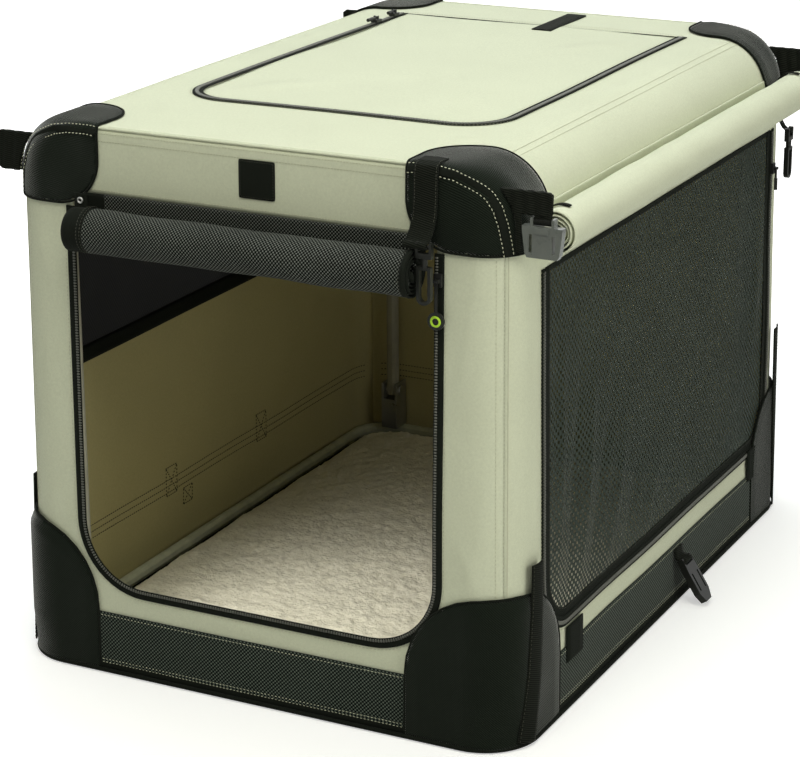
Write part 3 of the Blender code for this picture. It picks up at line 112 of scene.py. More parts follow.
class Finish:
    """A material, the slot of its pieces, and short ways to add nodes."""

    def __init__(self, name, colour, rough=0.8, metal=0.0, sheen=0.0, coat=0.0, shine=0.3, slot=None):
        self.slot = slot
        self.material = bpy.data.materials.new(name)
        self.material.use_nodes = True
        self.tree = self.material.node_tree
        self.shader = self.tree.nodes["Principled BSDF"]
        values = {"Base Color": (*colour, 1), "Roughness": rough, "Metallic": metal, "Sheen Weight": sheen,
                  "Sheen Roughness": 0.3, "Specular IOR Level": shine, "Coat Weight": coat}
        for key, value in values.items():
            self.shader.inputs[key].default_value = value

    def add(self, kind, inputs=None, **settings):
        return add_node(self.tree, kind, inputs, **settings)

    def math(self, operation, *values):
        return self.add("Math", dict(enumerate(values)), operation=operation).outputs[0]

    def mix(self, share, first, second, kind="MIX"):
        pair = [v if isinstance(v, bpy.types.NodeSocket) else (*v, 1) for v in (first, second)]
        inputs = {0: share, 6: pair[0], 7: pair[1]}
        return self.add("Mix", inputs, data_type="RGBA", blend_type=kind).outputs[2]

    def smooth(self, value, from_low, from_high, low, high):
        inputs = {"Value": value, "From Min": from_low, "From Max": from_high, "To Min": low, "To Max": high}
        return self.add("MapRange", inputs, interpolation_type="SMOOTHSTEP").outputs[0]

    def wave(self, *periods):
        """sin of 2 pi (u / first + v / second), in the cloth's own metres. None leaves one out."""
        threads = self.add("SeparateXYZ", {0: self.add("TexCoord").outputs["UV"]}).outputs
        terms = [self.math("MULTIPLY", threads[i], 2 * math.pi / period)
                 for i, period in enumerate(periods) if period]
        return self.math("SINE", self.math("ADD", *terms) if len(terms) == 2 else terms[0])

    def lattice(self, per_u, per_v):
        """Two crossing waves, which leave holes on a staggered grid."""
        both_ways = self.math("ADD", self.wave(per_u, per_v), self.wave(per_u, -per_v))
        return self.math("MULTIPLY", both_ways, 0.5)

    def cloud(self, scale, detail):
        place = self.add("TexCoord").outputs["Object"]
        return self.add("TexNoise", {"Vector": place, "Scale": scale, "Detail": detail}).outputs[0]

    def bump(self, height, strength, distance, before=None):
        inputs = {"Strength": strength, "Distance": distance, "Height": height}
        if before is not None:
            inputs["Normal"] = before
        return self.add("Bump", inputs).outputs[0]

    def wire(self, value, name):
        self.tree.links.new(value, self.shader.inputs[name])

    def paint(self, colour, shade):
        """The colour times a grey level, as the base colour."""
        grey = self.add("CombineColor", {0: shade, 1: shade, 2: shade}).outputs[0]
        self.wire(self.mix(1.0, colour, grey, "MULTIPLY"), "Base Color")


def woven(name, slot, low, high, pattern, period, bump, rough, sheen, tone):
    """A woven cloth: thread pattern in colour and bump, with slow changes of tone over it."""
    made = Finish(name, high, rough, sheen=sheen, shine=0.03, slot=slot)
    if pattern == "plain":
        height = made.math("MULTIPLY", made.wave(period), made.wave(None, period))
    elif pattern == "twill":
        slant = made.math("MULTIPLY", made.wave(period, period), 0.75)
        height = made.math("ADD", slant, made.math("MULTIPLY", made.wave(period * 0.5), 0.25))
    elif pattern == "rib":
        height = made.math("MULTIPLY", made.wave(period * 5, period), 0.9)
    else:
        height = made.lattice(period, period)
    share = made.math("MULTIPLY_ADD", height, 0.5, 0.5)
    if pattern == "net":
        share = made.smooth(share, 0.42, 0.82, 0.0, 1.0)
    slow = made.cloud(9.0, 2.0)
    dim = made.math("MULTIPLY_ADD", slow, 2 * tone, 1 - tone)
    speck = made.math("MULTIPLY_ADD", made.cloud(420.0, 1.0), 0.16, 0.92)
    made.paint(made.mix(share, low, high), made.math("MULTIPLY", dim, speck))
    made.wire(made.bump(slow, 0.25, 0.004, made.bump(share, bump, 0.0004)), "Normal")
    return made


def net(name, thread, period, cover, stretch):
    """A see-through knitted mesh: round holes on a staggered grid."""
    made = Finish(name, thread, 0.6, sheen=0.03, shine=0.04, slot="mesh_fabric")
    share = made.math("MULTIPLY_ADD", made.lattice(period, period * stretch), 0.5, 0.5)
    edge = cover * 0.35
    lighter = [c * 2.1 + 0.01 for c in thread]
    raised = made.math("SUBTRACT", 1.0, share)
    tint = made.math("MULTIPLY", made.math("ADD", made.cloud(14.0, 2.0), 0.3), raised)
    made.wire(made.mix(tint, thread, lighter), "Base Color")
    made.wire(made.bump(share, 0.6, 0.0004), "Normal")
    made.wire(made.smooth(share, 0.78 - edge, 1.12 - edge, 1.0, 1.0 - (1.0 - cover) * 2.2), "Alpha")
    return made


def moulded(name, colour, rough=0.4, metal=0.0, grain=0.12, coat=0.0, slot=None):
    """Moulded plastic or painted metal, with fine grain and worn, uneven gloss."""
    made = Finish(name, colour, rough, metal, coat=coat, slot=slot)
    slow = made.cloud(60.0, 3.0)
    made.wire(made.math("MULTIPLY_ADD", slow, 0.25, rough - 0.12), "Roughness")
    made.paint(colour, made.math("MULTIPLY_ADD", slow, 0.5, 0.75))
    made.wire(made.bump(made.cloud(1500.0, 2.0), grain, 0.0002), "Normal")
    return made


# Name, slot, valley and ridge colours, pattern, period, bump, roughness, sheen and change of tone
CREAM = woven("cream_polyester", "cream_fabric", (0.55, 0.57, 0.43), (0.66, 0.69, 0.53), "plain",
              0.0011, 0.35, 0.82, 0.1, 0.05)
LINING = woven("lining", "cream_fabric", (0.45, 0.4, 0.2), (0.54, 0.49, 0.26), "plain",
               0.0011, 0.3, 0.9, 0.0, 0.06)
TWILL = woven("corner_twill", "dark_twill", (0.002, 0.003, 0.002), (0.018, 0.024, 0.017), "twill",
              0.0026, 0.9, 0.8, 0.6, 0.16)
BELT = woven("belt_weave", "dark_twill", (0.004, 0.006, 0.005), (0.12, 0.145, 0.12), "net",
             0.0043, 1.0, 0.75, 0.2, 0.12)
ROLL = woven("roll_weave", "mesh_fabric", (0.003, 0.004, 0.003), (0.16, 0.172, 0.156), "net",
             0.0038, 1.0, 0.75, 0.04, 0.15)
TAPE = woven("zip_tape", "webbing", (0.005, 0.006, 0.005), (0.018, 0.021, 0.016), "twill",
             0.0014, 0.6, 0.85, 0.03, 0.1)
WEBBING = woven("webbing", "webbing", (0.003, 0.004, 0.003), (0.019, 0.021, 0.016), "rib",
                0.0022, 1.0, 0.75, 0.06, 0.12)
SIDE_NET = net("side_mesh", (0.02, 0.026, 0.021), 0.0078, 0.66, 1.15)
WINDOW_NET = net("window_mesh", (0.002, 0.002, 0.001), 0.0036, 0.995, 1.6)
THREAD = moulded("cream_thread", (0.62, 0.62, 0.46), 0.7, slot="webbing")
DARK_THREAD = moulded("dark_thread", (0.06, 0.06, 0.045), 0.7, slot="webbing")
SEAM_THREAD = moulded("tone_thread", (0.5, 0.5, 0.37), 0.8, slot="cream_fabric")
# The zip coil is black; its lighter colour is painted highlight, so the teeth stand out from the tape
COIL_PAINTED_HIGHLIGHT = moulded("zip_coil", (0.11, 0.112, 0.095), 0.35, coat=0.2, slot="black_plastic")
BLACK = moulded("black_plastic", (0.01, 0.011, 0.009), 0.34)
# The corner buckle is black plastic like the belt buckle; its lighter grey colour is painted reflection of
# the white surroundings
BUCKLE_PAINTED_REFLECTION = moulded("buckle_plastic_painted_reflection", (0.095, 0.105, 0.094), 0.28, coat=0.8)
STEEL = moulded("plated_steel", (0.42, 0.42, 0.4), 0.32, 0.9, 0.05, slot="steel")
DARK_STEEL = moulded("black_plated_steel", (0.035, 0.036, 0.034), 0.3, 0.6, 0.05)
TUBE = moulded("painted_tube", (0.36, 0.35, 0.28), 0.42, 0.0, 0.08)
SLEEVE = moulded("tube_sleeve", (0.52, 0.53, 0.39), 0.85)
LIME = moulded("lime_print", (0.42, 0.68, 0.04), 0.5, slot="black_plastic")

# Curly pile: fine curls on soft lumps
FLEECE = made = Finish("fleece", (0.8, 0.77, 0.66), 0.95, sheen=0.2, shine=0.03, slot="fleece")
curl, lump = made.cloud(260.0, 4.0), made.cloud(70.0, 3.0)
share = made.math("POWER", made.math("MULTIPLY", made.math("ADD", curl, lump), 0.5), 0.8)
shade = made.math("MULTIPLY_ADD", made.cloud(7.0, 2.0), 0.24, 0.88)
made.paint(made.mix(share, (0.6, 0.56, 0.43), (0.97, 0.93, 0.8)), shade)
made.wire(made.bump(lump, 0.7, 0.006, made.bump(curl, 0.8, 0.002)), "Normal")


# The shell's form

def both(u, v):
    return np.broadcast_arrays(np.asarray(u, float), np.asarray(v, float))


def unit(vectors):
    return vectors / np.maximum(np.linalg.norm(vectors, axis=-1, keepdims=True), 1e-9)


def half_x(z, off=0.0):
    z = np.asarray(z, float)
    rise = np.clip(z - EDGE_Z, 0, ROOF_RADIUS + off)
    bent = EDGE_X + np.sqrt(np.maximum((ROOF_RADIUS + off) ** 2 - rise ** 2, 0))
    return np.where(z > EDGE_Z, bent, WIDE - LEAN * z / TALL + off)


def half_y(z, off=0.0):
    z, edge = np.asarray(z, float), FRONT_RADIUS + off
    depth = np.clip(z - (TALL - FRONT_RADIUS), 0, edge)
    bend = np.sqrt(np.maximum(edge ** 2 - depth ** 2, 0))
    return LONG - LEAN * np.minimum(z, TALL) / TALL + off + bend - edge


def plan_radius(z):
    return BASE_RADIUS + (TOP_RADIUS - BASE_RADIUS) * np.minimum(z, TALL) / TALL


def on_wall(face):
    """Maps u, along the wall and on round its corners, and z to points and normals."""
    ends, sign = face in ENDS, SIGN[face]

    def place(u, z, off=0.0):
        u, z = both(u, z)
        radius = plan_radius(z) + off
        reach, out = (half_x(z, off), half_y(z, off)) if ends else (half_y(z, off), half_x(z, off))
        side = np.where(u < 0, -1.0, 1.0)
        straight = np.minimum(np.abs(u), reach - radius)
        over = np.abs(u) - straight
        angle = np.minimum(over / radius, math.pi / 2)
        along = side * (straight + radius * np.sin(angle))
        away = sign * (out - radius + radius * np.cos(angle) - (over - angle * radius))
        tilt = np.clip((z - EDGE_Z) / ROOF_RADIUS, 0, 1) * (0 if ends else 1)
        flat = np.sqrt(1 - tilt ** 2)
        n_along, n_away = side * np.sin(angle) * flat, sign * np.cos(angle) * flat
        if ends:
            return np.stack([along, away, z], -1), np.stack([n_along, n_away, tilt], -1)
        return np.stack([away, along, z], -1), np.stack([n_away, n_along, tilt], -1)

    return place


def on_roof(t, y, off=0.0):
    """Maps t, measured over the roof from its middle line and down the sides, and y."""
    t, y = both(t, y)
    side, run, bend = np.where(t < 0, -1.0, 1.0), np.abs(t), ROOF_RADIUS + off
    angle = np.clip((run - EDGE_X) / ROOF_RADIUS, 0, math.pi / 2)
    extra = np.maximum(run - EDGE_X - ROOF_RADIUS * math.pi / 2, 0)
    z = np.where(run <= EDGE_X, TALL + off, EDGE_Z + bend * np.cos(angle) - extra)
    x = np.where(run <= EDGE_X, run, EDGE_X + bend * np.sin(angle) + LEAN * extra / TALL)
    radius = plan_radius(z) + off
    deep = LONG - LEAN * np.minimum(z, TALL) / TALL + off
    over = np.clip(np.abs(y) - (deep - radius), 0, radius)
    wide = np.where(run <= EDGE_X, EDGE_X, x)
    x = np.minimum(x, wide - radius + np.sqrt(np.maximum(radius ** 2 - over ** 2, 0)))
    return np.stack([side * x, y, z], -1), np.stack([side * np.sin(angle), x * 0, np.cos(angle)], -1)


def on_plane(origin, up, normal):
    """Maps u, along x, and v, along up."""
    origin, up, normal = np.array([origin, up, normal], float)

    def place(u, v, off=0.0):
        u, v = both(u, v)
        points = origin + u[..., None] * (1, 0, 0) + v[..., None] * up + normal * off
        return points, points * 0 + normal

    return place


def upright(along, place, away, z):
    """Vectors from a place along an end (x) or a side (y), the distance out from the middle, and z."""
    row = (place, -away, z) if along == "x" else (away, place, z)
    return np.stack(np.broadcast_arrays(*row), -1)


# Flat shapes as signed distances, negative inside, and their outlines

def round_box(u, v, low, high, radius):
    du = np.abs(u - (low[0] + high[0]) / 2) - ((high[0] - low[0]) / 2 - radius)
    dv = np.abs(v - (low[1] + high[1]) / 2) - ((high[1] - low[1]) / 2 - radius)
    return np.hypot(np.maximum(du, 0), np.maximum(dv, 0)) + np.minimum(np.maximum(du, dv), 0) - radius


def hole_depth(u, v, hole, end=9.0):
    """A U-shaped hole, cut off straight at its end."""
    left, right, bottom, radius = hole
    return np.maximum(round_box(u, v, (left, bottom), (right, 3.0), radius), v - end)


def side_hole(u, v):
    return hole_depth(u, v, SIDE, SIDE_TOP)


def flap_hole(u, v):
    return hole_depth(u, v, FLAP, FLAP_REAR)


def arc(centre, radius, start, end, count):
    """Points of an arc, its angles in degrees and anticlockwise from u."""
    angles = np.radians(np.linspace(start, end, count))
    return [(centre[0] + radius * math.cos(a), centre[1] + radius * math.sin(a)) for a in angles]


def hole_line(hole, top, out):
    """A line outside a U-shaped hole: down its left side, round its corners and up its right side."""
    left, right, bottom, radius = hole
    radius += out
    low = bottom - out + radius
    bends = (arc((left - out + radius, low), radius, 180, 270, 13)
             + arc((right + out - radius, low), radius, 270, 360, 13))
    return [(left - out, top), *bends, (right + out, top)]


def box_line(low, high, radius, count=9):
    near_u, near_v, far_u, far_v = low[0] + radius, low[1] + radius, high[0] - radius, high[1] - radius
    centres = ((far_u, far_v), (near_u, far_v), (near_u, near_v), (far_u, near_v))
    line = [p for i, centre in enumerate(centres) for p in arc(centre, radius, 90 * i, 90 * i + 90, count)]
    return line + [line[0]]


# Meshes

def link(name, data):
    piece = bpy.data.objects.new(name, data)
    bpy.context.scene.collection.objects.link(piece)
    return piece


def dressed(name, mesh, finishes):
    """A smooth piece with these finishes."""
    for finish in finishes:
        mesh.materials.append(finish.material)
    mesh.shade_smooth()
    piece = link(name, mesh)
    return piece


def skin(name, points, faces, uvs, finishes):
    """A piece from arrays of points, faces and one uv a point."""
    mesh = bpy.data.meshes.new(name)
    mesh.from_pydata([tuple(p) for p in points], [], [tuple(f) for f in faces])
    layer = mesh.uv_layers.new(name="threads")
    index = np.empty(len(mesh.loops), np.int32)
    mesh.loops.foreach_get("vertex_index", index)
    layer.data.foreach_set("uv", np.asarray(uvs, np.float32)[index].ravel())
    return dressed(name, mesh, finishes)


def hold(piece, body, *replaced, stiff=False):
    """The piece rides on a body. Cloth low on the crate gets a mesh of its own, unless it is stiff."""
    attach(piece, body)
    if replaced:
        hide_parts(*replaced)
    if body in FOLD_ANCHOR and not stiff:
        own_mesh(piece)
    return piece


def thicken(piece, thickness, lined=True):
    """Gives cloth its thickness. Lined, its inner face has the second finish."""
    solid = piece.modifiers.new("thickness", "SOLIDIFY")
    solid.thickness = thickness
    solid.offset = -1
    if lined and len(piece.data.materials) > 1:
        solid.material_offset = 1
    return piece


def quads(shape):
    """The four-sided faces of a grid of points, in rows."""
    number = np.arange(shape[0] * shape[1]).reshape(shape)
    return np.stack([number[:-1, :-1], number[1:, :-1], number[1:, 1:], number[:-1, 1:]], -1)


def faced(faces, flat, first, normal):
    """The faces, turned over if the first of them looks away from the normal."""
    facing = np.cross(flat[first[1]] - flat[first[0]], flat[first[3]] - flat[first[0]])
    return faces[:, ::-1] if facing @ normal < 0 else faces


def panel(name, low, high, cell, place, finishes, thickness, shape=None, relief=None, off=0.0, fit=None):
    """A cloth panel on a surface: a fine grid, cut to a shape, with its edge points on the outline.

    With fit, the grid's sides follow that limit of |u| at each v, so a slanting edge stays straight.
    """
    counts = [max(2, round((b - a) / cell)) for a, b in zip(low, high)]
    sides = [np.linspace(a, b, count + 1) for a, b, count in zip(low, high, counts)]
    u, v = np.meshgrid(*sides, indexing="ij")
    if fit is not None:
        u = u / max(abs(low[0]), abs(high[0])) * fit(v)
    keep = np.ones(u.shape, bool)
    if shape is not None:
        step = 1e-4
        for _ in range(3):
            depth = shape(u, v)
            slope_u = (shape(u + step, v) - shape(u - step, v)) / (2 * step)
            slope_v = (shape(u, v + step) - shape(u, v - step)) / (2 * step)
            size = np.maximum(slope_u ** 2 + slope_v ** 2, 0.25)
            near = (depth < 0.74 * cell) & (depth > -0.24 * cell)
            u = np.where(near, u - depth * slope_u / size, u)
            v = np.where(near, v - depth * slope_v / size, v)
        keep = shape(u, v) < 0.12 * cell
    points, normals = place(u, v, off)
    if relief is not None:
        points = points + normals * relief(u, v)[..., None]
    faces = quads(u.shape)[keep[:-1, :-1] & keep[1:, :-1] & keep[1:, 1:] & keep[:-1, 1:]]
    flat, first = points.reshape(-1, 3), faces[len(faces) // 2]
    faces = faced(faces, flat, first, normals.reshape(-1, 3)[first[0]])
    used, back_to = np.unique(faces, return_inverse=True)
    uvs = np.stack([u.ravel(), v.ravel()], -1)[used]
    piece = skin(name, flat[used], back_to.reshape(faces.shape), uvs, finishes)
    return thicken(piece, thickness) if thickness else piece


def run_length(points):
    return np.concatenate([[0], np.cumsum(np.linalg.norm(np.diff(points, axis=0), axis=1))])


def even(points, step):
    """The same line with points an even step apart."""
    points = np.asarray(points, float)
    run = run_length(points)
    at = np.linspace(0, run[-1], max(2, int(round(run[-1] / step)) + 1))
    return np.stack([np.interp(at, run, column) for column in points.T], -1)


# A run is a line on a surface: its points and normals

def route(place, line, step, off=0.0, relief=None):
    u, v = even(line, step).T
    points, normals = place(u, v, off)
    if relief is not None:
        points = points + normals * relief(u, v)[:, None]
    return points, normals


def level(place, reach, v, step, off, relief=None):
    """A run straight across a surface, as far to both sides."""
    return route(place, [(-reach, v), (reach, v)], step, off, relief)


def section(along, place, line, step):
    """A run along a line in an upright section: its distance out from the middle and its height."""
    line = even(line, step)
    way = unit(np.gradient(line, axis=0))
    return upright(along, place, line[:, 0], line[:, 1]), upright(along, 0.0, -way[:, 1], way[:, 0])


def lifted(run, height):
    return run[0] + run[1] * height, run[1]


def axes_of(points, normals):
    along = unit(np.gradient(points, axis=0))
    return along, unit(np.cross(along, normals))


def strip(name, body, run, width, thickness, finish, crown=0.0, shift=0.0, columns=4, replaced=()):
    """A band of one width along a run."""
    points, normals = run
    across = axes_of(points, normals)[1]
    share = np.linspace(-0.5, 0.5, columns + 1)
    lift = crown * (1 - (2 * share) ** 2)
    grid = (points[:, None] + across[:, None] * (share * width + shift)[None, :, None]
            + normals[:, None] * lift[None, :, None])
    flat, faces = grid.reshape(-1, 3), quads(grid.shape[:2]).reshape(-1, 4)
    faces = faced(faces, flat, faces[0], normals[0])
    uvs = np.stack(np.meshgrid(share * width, run_length(points)), -1).reshape(-1, 2)
    piece = thicken(skin(name, flat, faces, uvs, [finish]), thickness)
    return hold(piece, body, *replaced) if body else piece


def copies(name, body, template, placements, finish):
    """One piece of many small copies. A placement is a point and three axes, scaled."""
    points, faces = template
    base = np.asarray(points, float)
    everything, polygons = [], []
    for i, (origin, x_axis, y_axis, z_axis) in enumerate(placements):
        everything.append(origin + base[:, :1] * x_axis + base[:, 1:2] * y_axis + base[:, 2:] * z_axis)
        polygons.extend([[k + i * len(base) for k in face] for face in faces])
    flat = np.concatenate(everything)
    return hold(skin(name, flat, polygons, np.zeros((len(flat), 2)), [finish]), body)


STITCH = ([(-0.5, 0, 0), (-0.22, 0.5, 0.1), (-0.22, -0.5, 0.1), (-0.15, 0, 0.9),
           (0.22, 0.5, 0.1), (0.22, -0.5, 0.1), (0.15, 0, 0.9), (0.5, 0, 0)],
          [(0, 2, 3), (0, 3, 1), (1, 3, 6, 4), (3, 2, 5, 6), (4, 6, 7), (6, 5, 7), (0, 1, 4, 7, 5, 2)])
TOOTH = ([(-0.5, -0.5, -0.2), (0.5, -0.5, -0.2), (0.42, -0.35, 0.7), (-0.42, -0.35, 0.7),
          (-0.5, 0.2, -0.2), (0.5, 0.2, -0.2), (0.4, 0.12, 0.9), (-0.4, 0.12, 0.9),
          (-0.34, 0.5, 0), (0.34, 0.5, 0), (0.28, 0.44, 0.62), (-0.28, 0.44, 0.62)],
         [(0, 3, 2, 1), (3, 7, 6, 2), (0, 4, 7, 3), (1, 2, 6, 5), (7, 11, 10, 6), (4, 8, 11, 7),
          (5, 6, 10, 9), (8, 9, 10, 11), (0, 1, 5, 9, 8, 4)])
TOOTH_PITCH = 0.003


def spaced(run, shift, start, short, pitch, size):
    """Placements a pitch apart along a run, from start to short of its end, each of a size."""
    points, normals = run
    along, across = axes_of(points, normals)
    line = points + across * shift
    way, placements = run_length(line), []
    for at in np.arange(start, way[-1] - short, pitch):
        i = min(int(np.searchsorted(way, at)), len(way) - 1)
        origin = np.array([np.interp(at, way, column) for column in line.T])
        placements.append((origin, along[i] * size[0], across[i] * size[1], normals[i] * size[2]))
    return placements


def sew(name, body, runs, finish, shifts=(0.0,), pitch=0.0043, length=0.0028, width=0.0006):
    """Stitches along each run, at each sideways shift."""
    size, placements = (length, width, width * 0.6), []
    for run in runs:
        for shift in shifts:
            placements += spaced(run, shift, pitch / 2, 0.0, pitch, size)
    return copies(name, body, STITCH, placements, finish)


def coil(name, body, run, side, width=0.003, shift=0.0):
    """Half a zip's coil along a run: side is which way its heads point."""
    start, size = TOOTH_PITCH * (1 if side > 0 else 1.5), (TOOTH_PITCH * 0.62, width * side, 0.0013)
    copies(name, body, TOOTH, spaced(run, shift, start, TOOTH_PITCH, TOOTH_PITCH, size), COIL_PAINTED_HIGHLIGHT)


def cord_tube(name, body, points, radius, finish, resolution=2, closed=False):
    """A round tube along points."""
    curve = bpy.data.curves.new(name, "CURVE")
    curve.dimensions = "3D"
    curve.bevel_depth = radius
    curve.bevel_resolution = resolution
    curve.use_fill_caps = not closed
    spline = curve.splines.new("POLY")
    spline.points.add(len(points) - 1)
    for target, point in zip(spline.points, points):
        target.co = (*point, 1)
    spline.use_cyclic_u = closed
    guide = link(name + "_guide", curve)
    bpy.context.view_layer.update()
    mesh = bpy.data.meshes.new_from_object(guide.evaluated_get(bpy.context.evaluated_depsgraph_get()))
    bpy.data.objects.remove(guide)
    mesh.materials.clear()
    hold(dressed(name, mesh, [finish]), body)


# Ripple of the cloth: each wall's is shared by all that is sewn to it

def creases(marks):
    """Soft ridges: each mark is two ends, a half width and a height, in millimetres."""
    marks = np.asarray(marks, float) / 1000

    def height(u, v):
        total = np.zeros(np.shape(u))
        for au, av, bu, bv, half, rise in marks:
            du, dv = bu - au, bv - av
            length = math.hypot(du, dv)
            share = np.clip(((u - au) * du + (v - av) * dv) / length ** 2, -0.35, 1.35)
            beside = ((u - au) * dv - (v - av) * du) / length
            total += rise * np.exp(-((share - 0.5) / 0.42) ** 2 * 1.2) * np.exp(-(beside / half) ** 2)
        return total

    return height


def ripple(seed, size, rise, wide, tall, marks):
    """Uneven swell and creases that die away at the sewn edges: |u| near wide and v near tall."""
    rows = np.random.RandomState(seed)
    waves = [(rows.uniform(-1, 1), rows.uniform(-1, 1), rows.uniform(0, 2 * math.pi)) for _ in range(9)]
    folds = creases(marks)

    def height(u, v):
        total = sum(np.sin((a * u + b * v) * 2 * math.pi / size + phase) for a, b, phase in waves)
        calm = np.clip((wide - np.abs(u)) / 0.03, 0, 1) * np.clip((tall - v) / 0.025, 0, 1)
        return (total * rise / 3 + folds(u, v)) * calm

    return height


RIPPLE = {
    "front": ripple(3, 0.16, 0.00045, 0.275, 0.53, [
        (-262, 500, -232, 420, 7, 1.2), (-285, 505, -262, 330, 9, -1.2), (-240, 300, -222, 180, 8, 1),
        (245, 480, 232, 350, 7, 1), (262, 360, 240, 210, 10, -1.2), (226, 240, 262, 150, 8, 1.2),
        (-226, 200, -270, 150, 8, 1), (-100, 86, 60, 80, 6, 0.8), (120, 90, 210, 110, 8, -1)]),
    "rear": ripple(5, 0.22, 0.0009, 0.275, 0.53, [
        (-200, 500, -50, 250, 20, 1.8), (220, 500, 100, 220, 24, -1.8), (0, 200, 160, 90, 18, 1.5),
        (-220, 220, -100, 100, 16, 1.4)]),
    "left": ripple(7, 0.22, 0.0007, 0.39, 0.53, [
        (-340, 280, -200, 120, 18, 1.5), (300, 290, 160, 100, 20, -1.6), (0, 270, 60, 100, 18, 1.4)]),
    "right": ripple(11, 0.2, 0.00045, 0.39, 0.53, [
        (-345, 500, -338, 360, 6, 1), (-352, 300, -340, 160, 6, 1), (-200, 88, 100, 82, 6, 0.9),
        (200, 92, 330, 80, 7, -1)]),
    "roof": ripple(13, 0.26, 0.0007, 0.262, 9, [
        (-190, -250, -130, -340, 12, 1.2), (200, -250, 150, -340, 12, 1.2), (-20, -260, 20, -370, 20, -1.2),
        (235, 100, 215, -100, 12, 1), (100, 310, 50, 360, 14, 1), (-220, 50, -200, 250, 12, 1)]),
    "flap": ripple(17, 0.24, 0.001, 9, 9, [
        (-160, -210, -60, -80, 18, 2), (170, -210, 70, -50, 18, 2), (-165, 280, -50, 120, 20, 1.6),
        (170, 280, 60, 140, 20, 1.6), (-50, -120, 90, 60, 30, -1.2)]),
}
SIDE_FOLDS = creases([
    (-295, 125, -272, 420, 8, 3.4), (-268, 115, -225, 370, 9, -4.2), (-242, 112, -190, 340, 10, 4.6),
    (-212, 112, -145, 300, 11, -4.4), (-172, 112, -105, 250, 12, 3.8), (-120, 112, -60, 220, 13, -2.6),
    (-60, 115, 0, 200, 14, 1.8), (60, 450, 300, 300, 30, 2.2), (300, 200, 312, 400, 12, 2),
    (-100, 470, 120, 440, 20, -2)])


def roof_ripple(t, y):
    """The roof's swell, which dies away near the front and rear edges too."""
    return RIPPLE["roof"](t, y) * np.clip((0.355 - np.abs(y)) / 0.05, 0, 1)


def reach_to_corner(face):
    """How far a wall's cloth goes along u, to the middle of the corner, at each height."""
    half = half_x if face in ENDS else half_y
    return lambda z: half(z) - plan_radius(z) + plan_radius(z) * math.pi / 4


# Walls and belt. The wall's hole is left out, and -9 stands for none
HOLE = {"front": lambda u, z: 0.0025 - hole_depth(u, z, DOOR), "right": lambda u, z: -side_hole(u, z),
        "left": lambda u, z: -round_box(u, z, *WINDOW_HOLE), "rear": lambda u, z: -9.0}
LINED = (CREAM, LINING)
for face in SIGN:
    place, limit, swell = on_wall(face), reach_to_corner(face), RIPPLE[face]
    wide = float(limit(0.0))

    def wall_shape(u, z):
        return np.maximum(np.abs(u) - limit(z), HOLE[face](u, z))

    hold(panel(face + "_wall_cloth", (-wide, WALL_LOW), (wide, WALL_TOP), 0.0045, place, LINED, 0.0018,
               wall_shape, swell, fit=limit), "base", face + "_wall")
    hold(panel(face + "_belt_cloth", (-wide, WALL_LOW), (wide, 0.07), 0.0055, place, [BELT], 0.0013, None,
               swell, FIRST, limit), "base", "lower_belt")
    runs = [level(place, wide, z, 0.004, FIRST + 0.0004, swell) for z in (0.0665, 0.015, 0.0115)]
    sew(face + "_belt_stitches", "base", runs, THREAD, pitch=0.0042, length=0.0026, width=0.0008)
    run = level(place, wide, 0.0075, 0.006, FIRST + 0.0007, swell)
    strip(face + "_belt_binding", "base", run, 0.0072, 0.0012, TAPE, 0.0002)

# Bottom corner caps: how far each reaches along its end wall differs a little
CAP_FAR, CAP_ROUND = (0.108, 0.166), 0.092
for (end, side), reach in zip(CORNERS, (0.09, 0.106, 0.1, 0.1)):
    place, sign_x, middle = on_wall(end), SIGN[side], float(reach_to_corner(end)(0.05))

    def outline(u, z):
        return round_box(sign_x * u - middle, z, (-reach, -0.4), CAP_FAR, CAP_ROUND)

    def cap_puff(u, z):
        q = sign_x * u - middle
        corner = np.exp(-(q / 0.035) ** 2) * np.clip(z / 0.05, 0.35, 1)
        puff = (0.0012 + 0.005 * corner) * np.clip(-outline(u, z) / 0.014, 0, 1)
        return RIPPLE[end](u, z) * np.clip(-q / 0.03, 0, 1) + puff

    low, high = sorted((sign_x * (middle - reach - 0.002), sign_x * (middle + 0.11)))
    label = f"bottom_cap_{end}_{side}"
    hold(panel(label + "_cloth", (low, WALL_LOW), (high, 0.169), 0.004, place, [TWILL], 0.0016, outline,
               cap_puff, FIRST + 0.0016), "base", label)
    edge = [p for p in box_line((-reach, -0.4), CAP_FAR, CAP_ROUND)[:-1] if p[1] > WALL_LOW]
    edge = [(sign_x * (q + middle), z) for q, z in [(CAP_FAR[0], WALL_LOW), *edge, (-reach, WALL_LOW)]]
    line = route(place, edge, 0.004, FIRST + 0.0012, cap_puff)[0]
    cord_tube(label + "_piping", "base", line, 0.0013, TAPE, 1)

# Window
place, swell = on_wall("left"), RIPPLE["left"]
window = panel("left_window_net", (-0.33, 0.307), (0.33, 0.51), 0.006, place, [WINDOW_NET], 0.0,
               lambda u, z: round_box(u, z, *WINDOW), swell, -0.0018)
hold(window, "base", "left_window_mesh")
for label, off in (("outer", 0.001), ("inner", -0.0022)):
    run = route(place, box_line(*WINDOW), 0.006, off, swell)
    strip(f"window_{label}_binding", "base", run, 0.018, 0.001, TAPE)
run = route(place, box_line(*WINDOW), 0.006, 0.0012, swell)
sew("window_stitches", "base", [run], THREAD, (0.0072, -0.0072), 0.004)


# Zips: the tape, the coil's outer half and its stitching stay; the inner half goes with the door

def half_zip(name, body, run, outer, *replaced):
    width, shift, side, end = (0.0066, 0.0017, -1, "_coil_outer") if outer else (0.0052, -0.0042, 1, "_coil")
    strip(name + "_tape", body, run, width, 0.0011, TAPE, 0.0, shift, 3, replaced)
    coil(name + end, body, run, side, shift=-0.0009 * side)


def zip_stitches(name, body, run, shift=0.0072):
    sew(name, body, [run], SEAM_THREAD, (shift,))


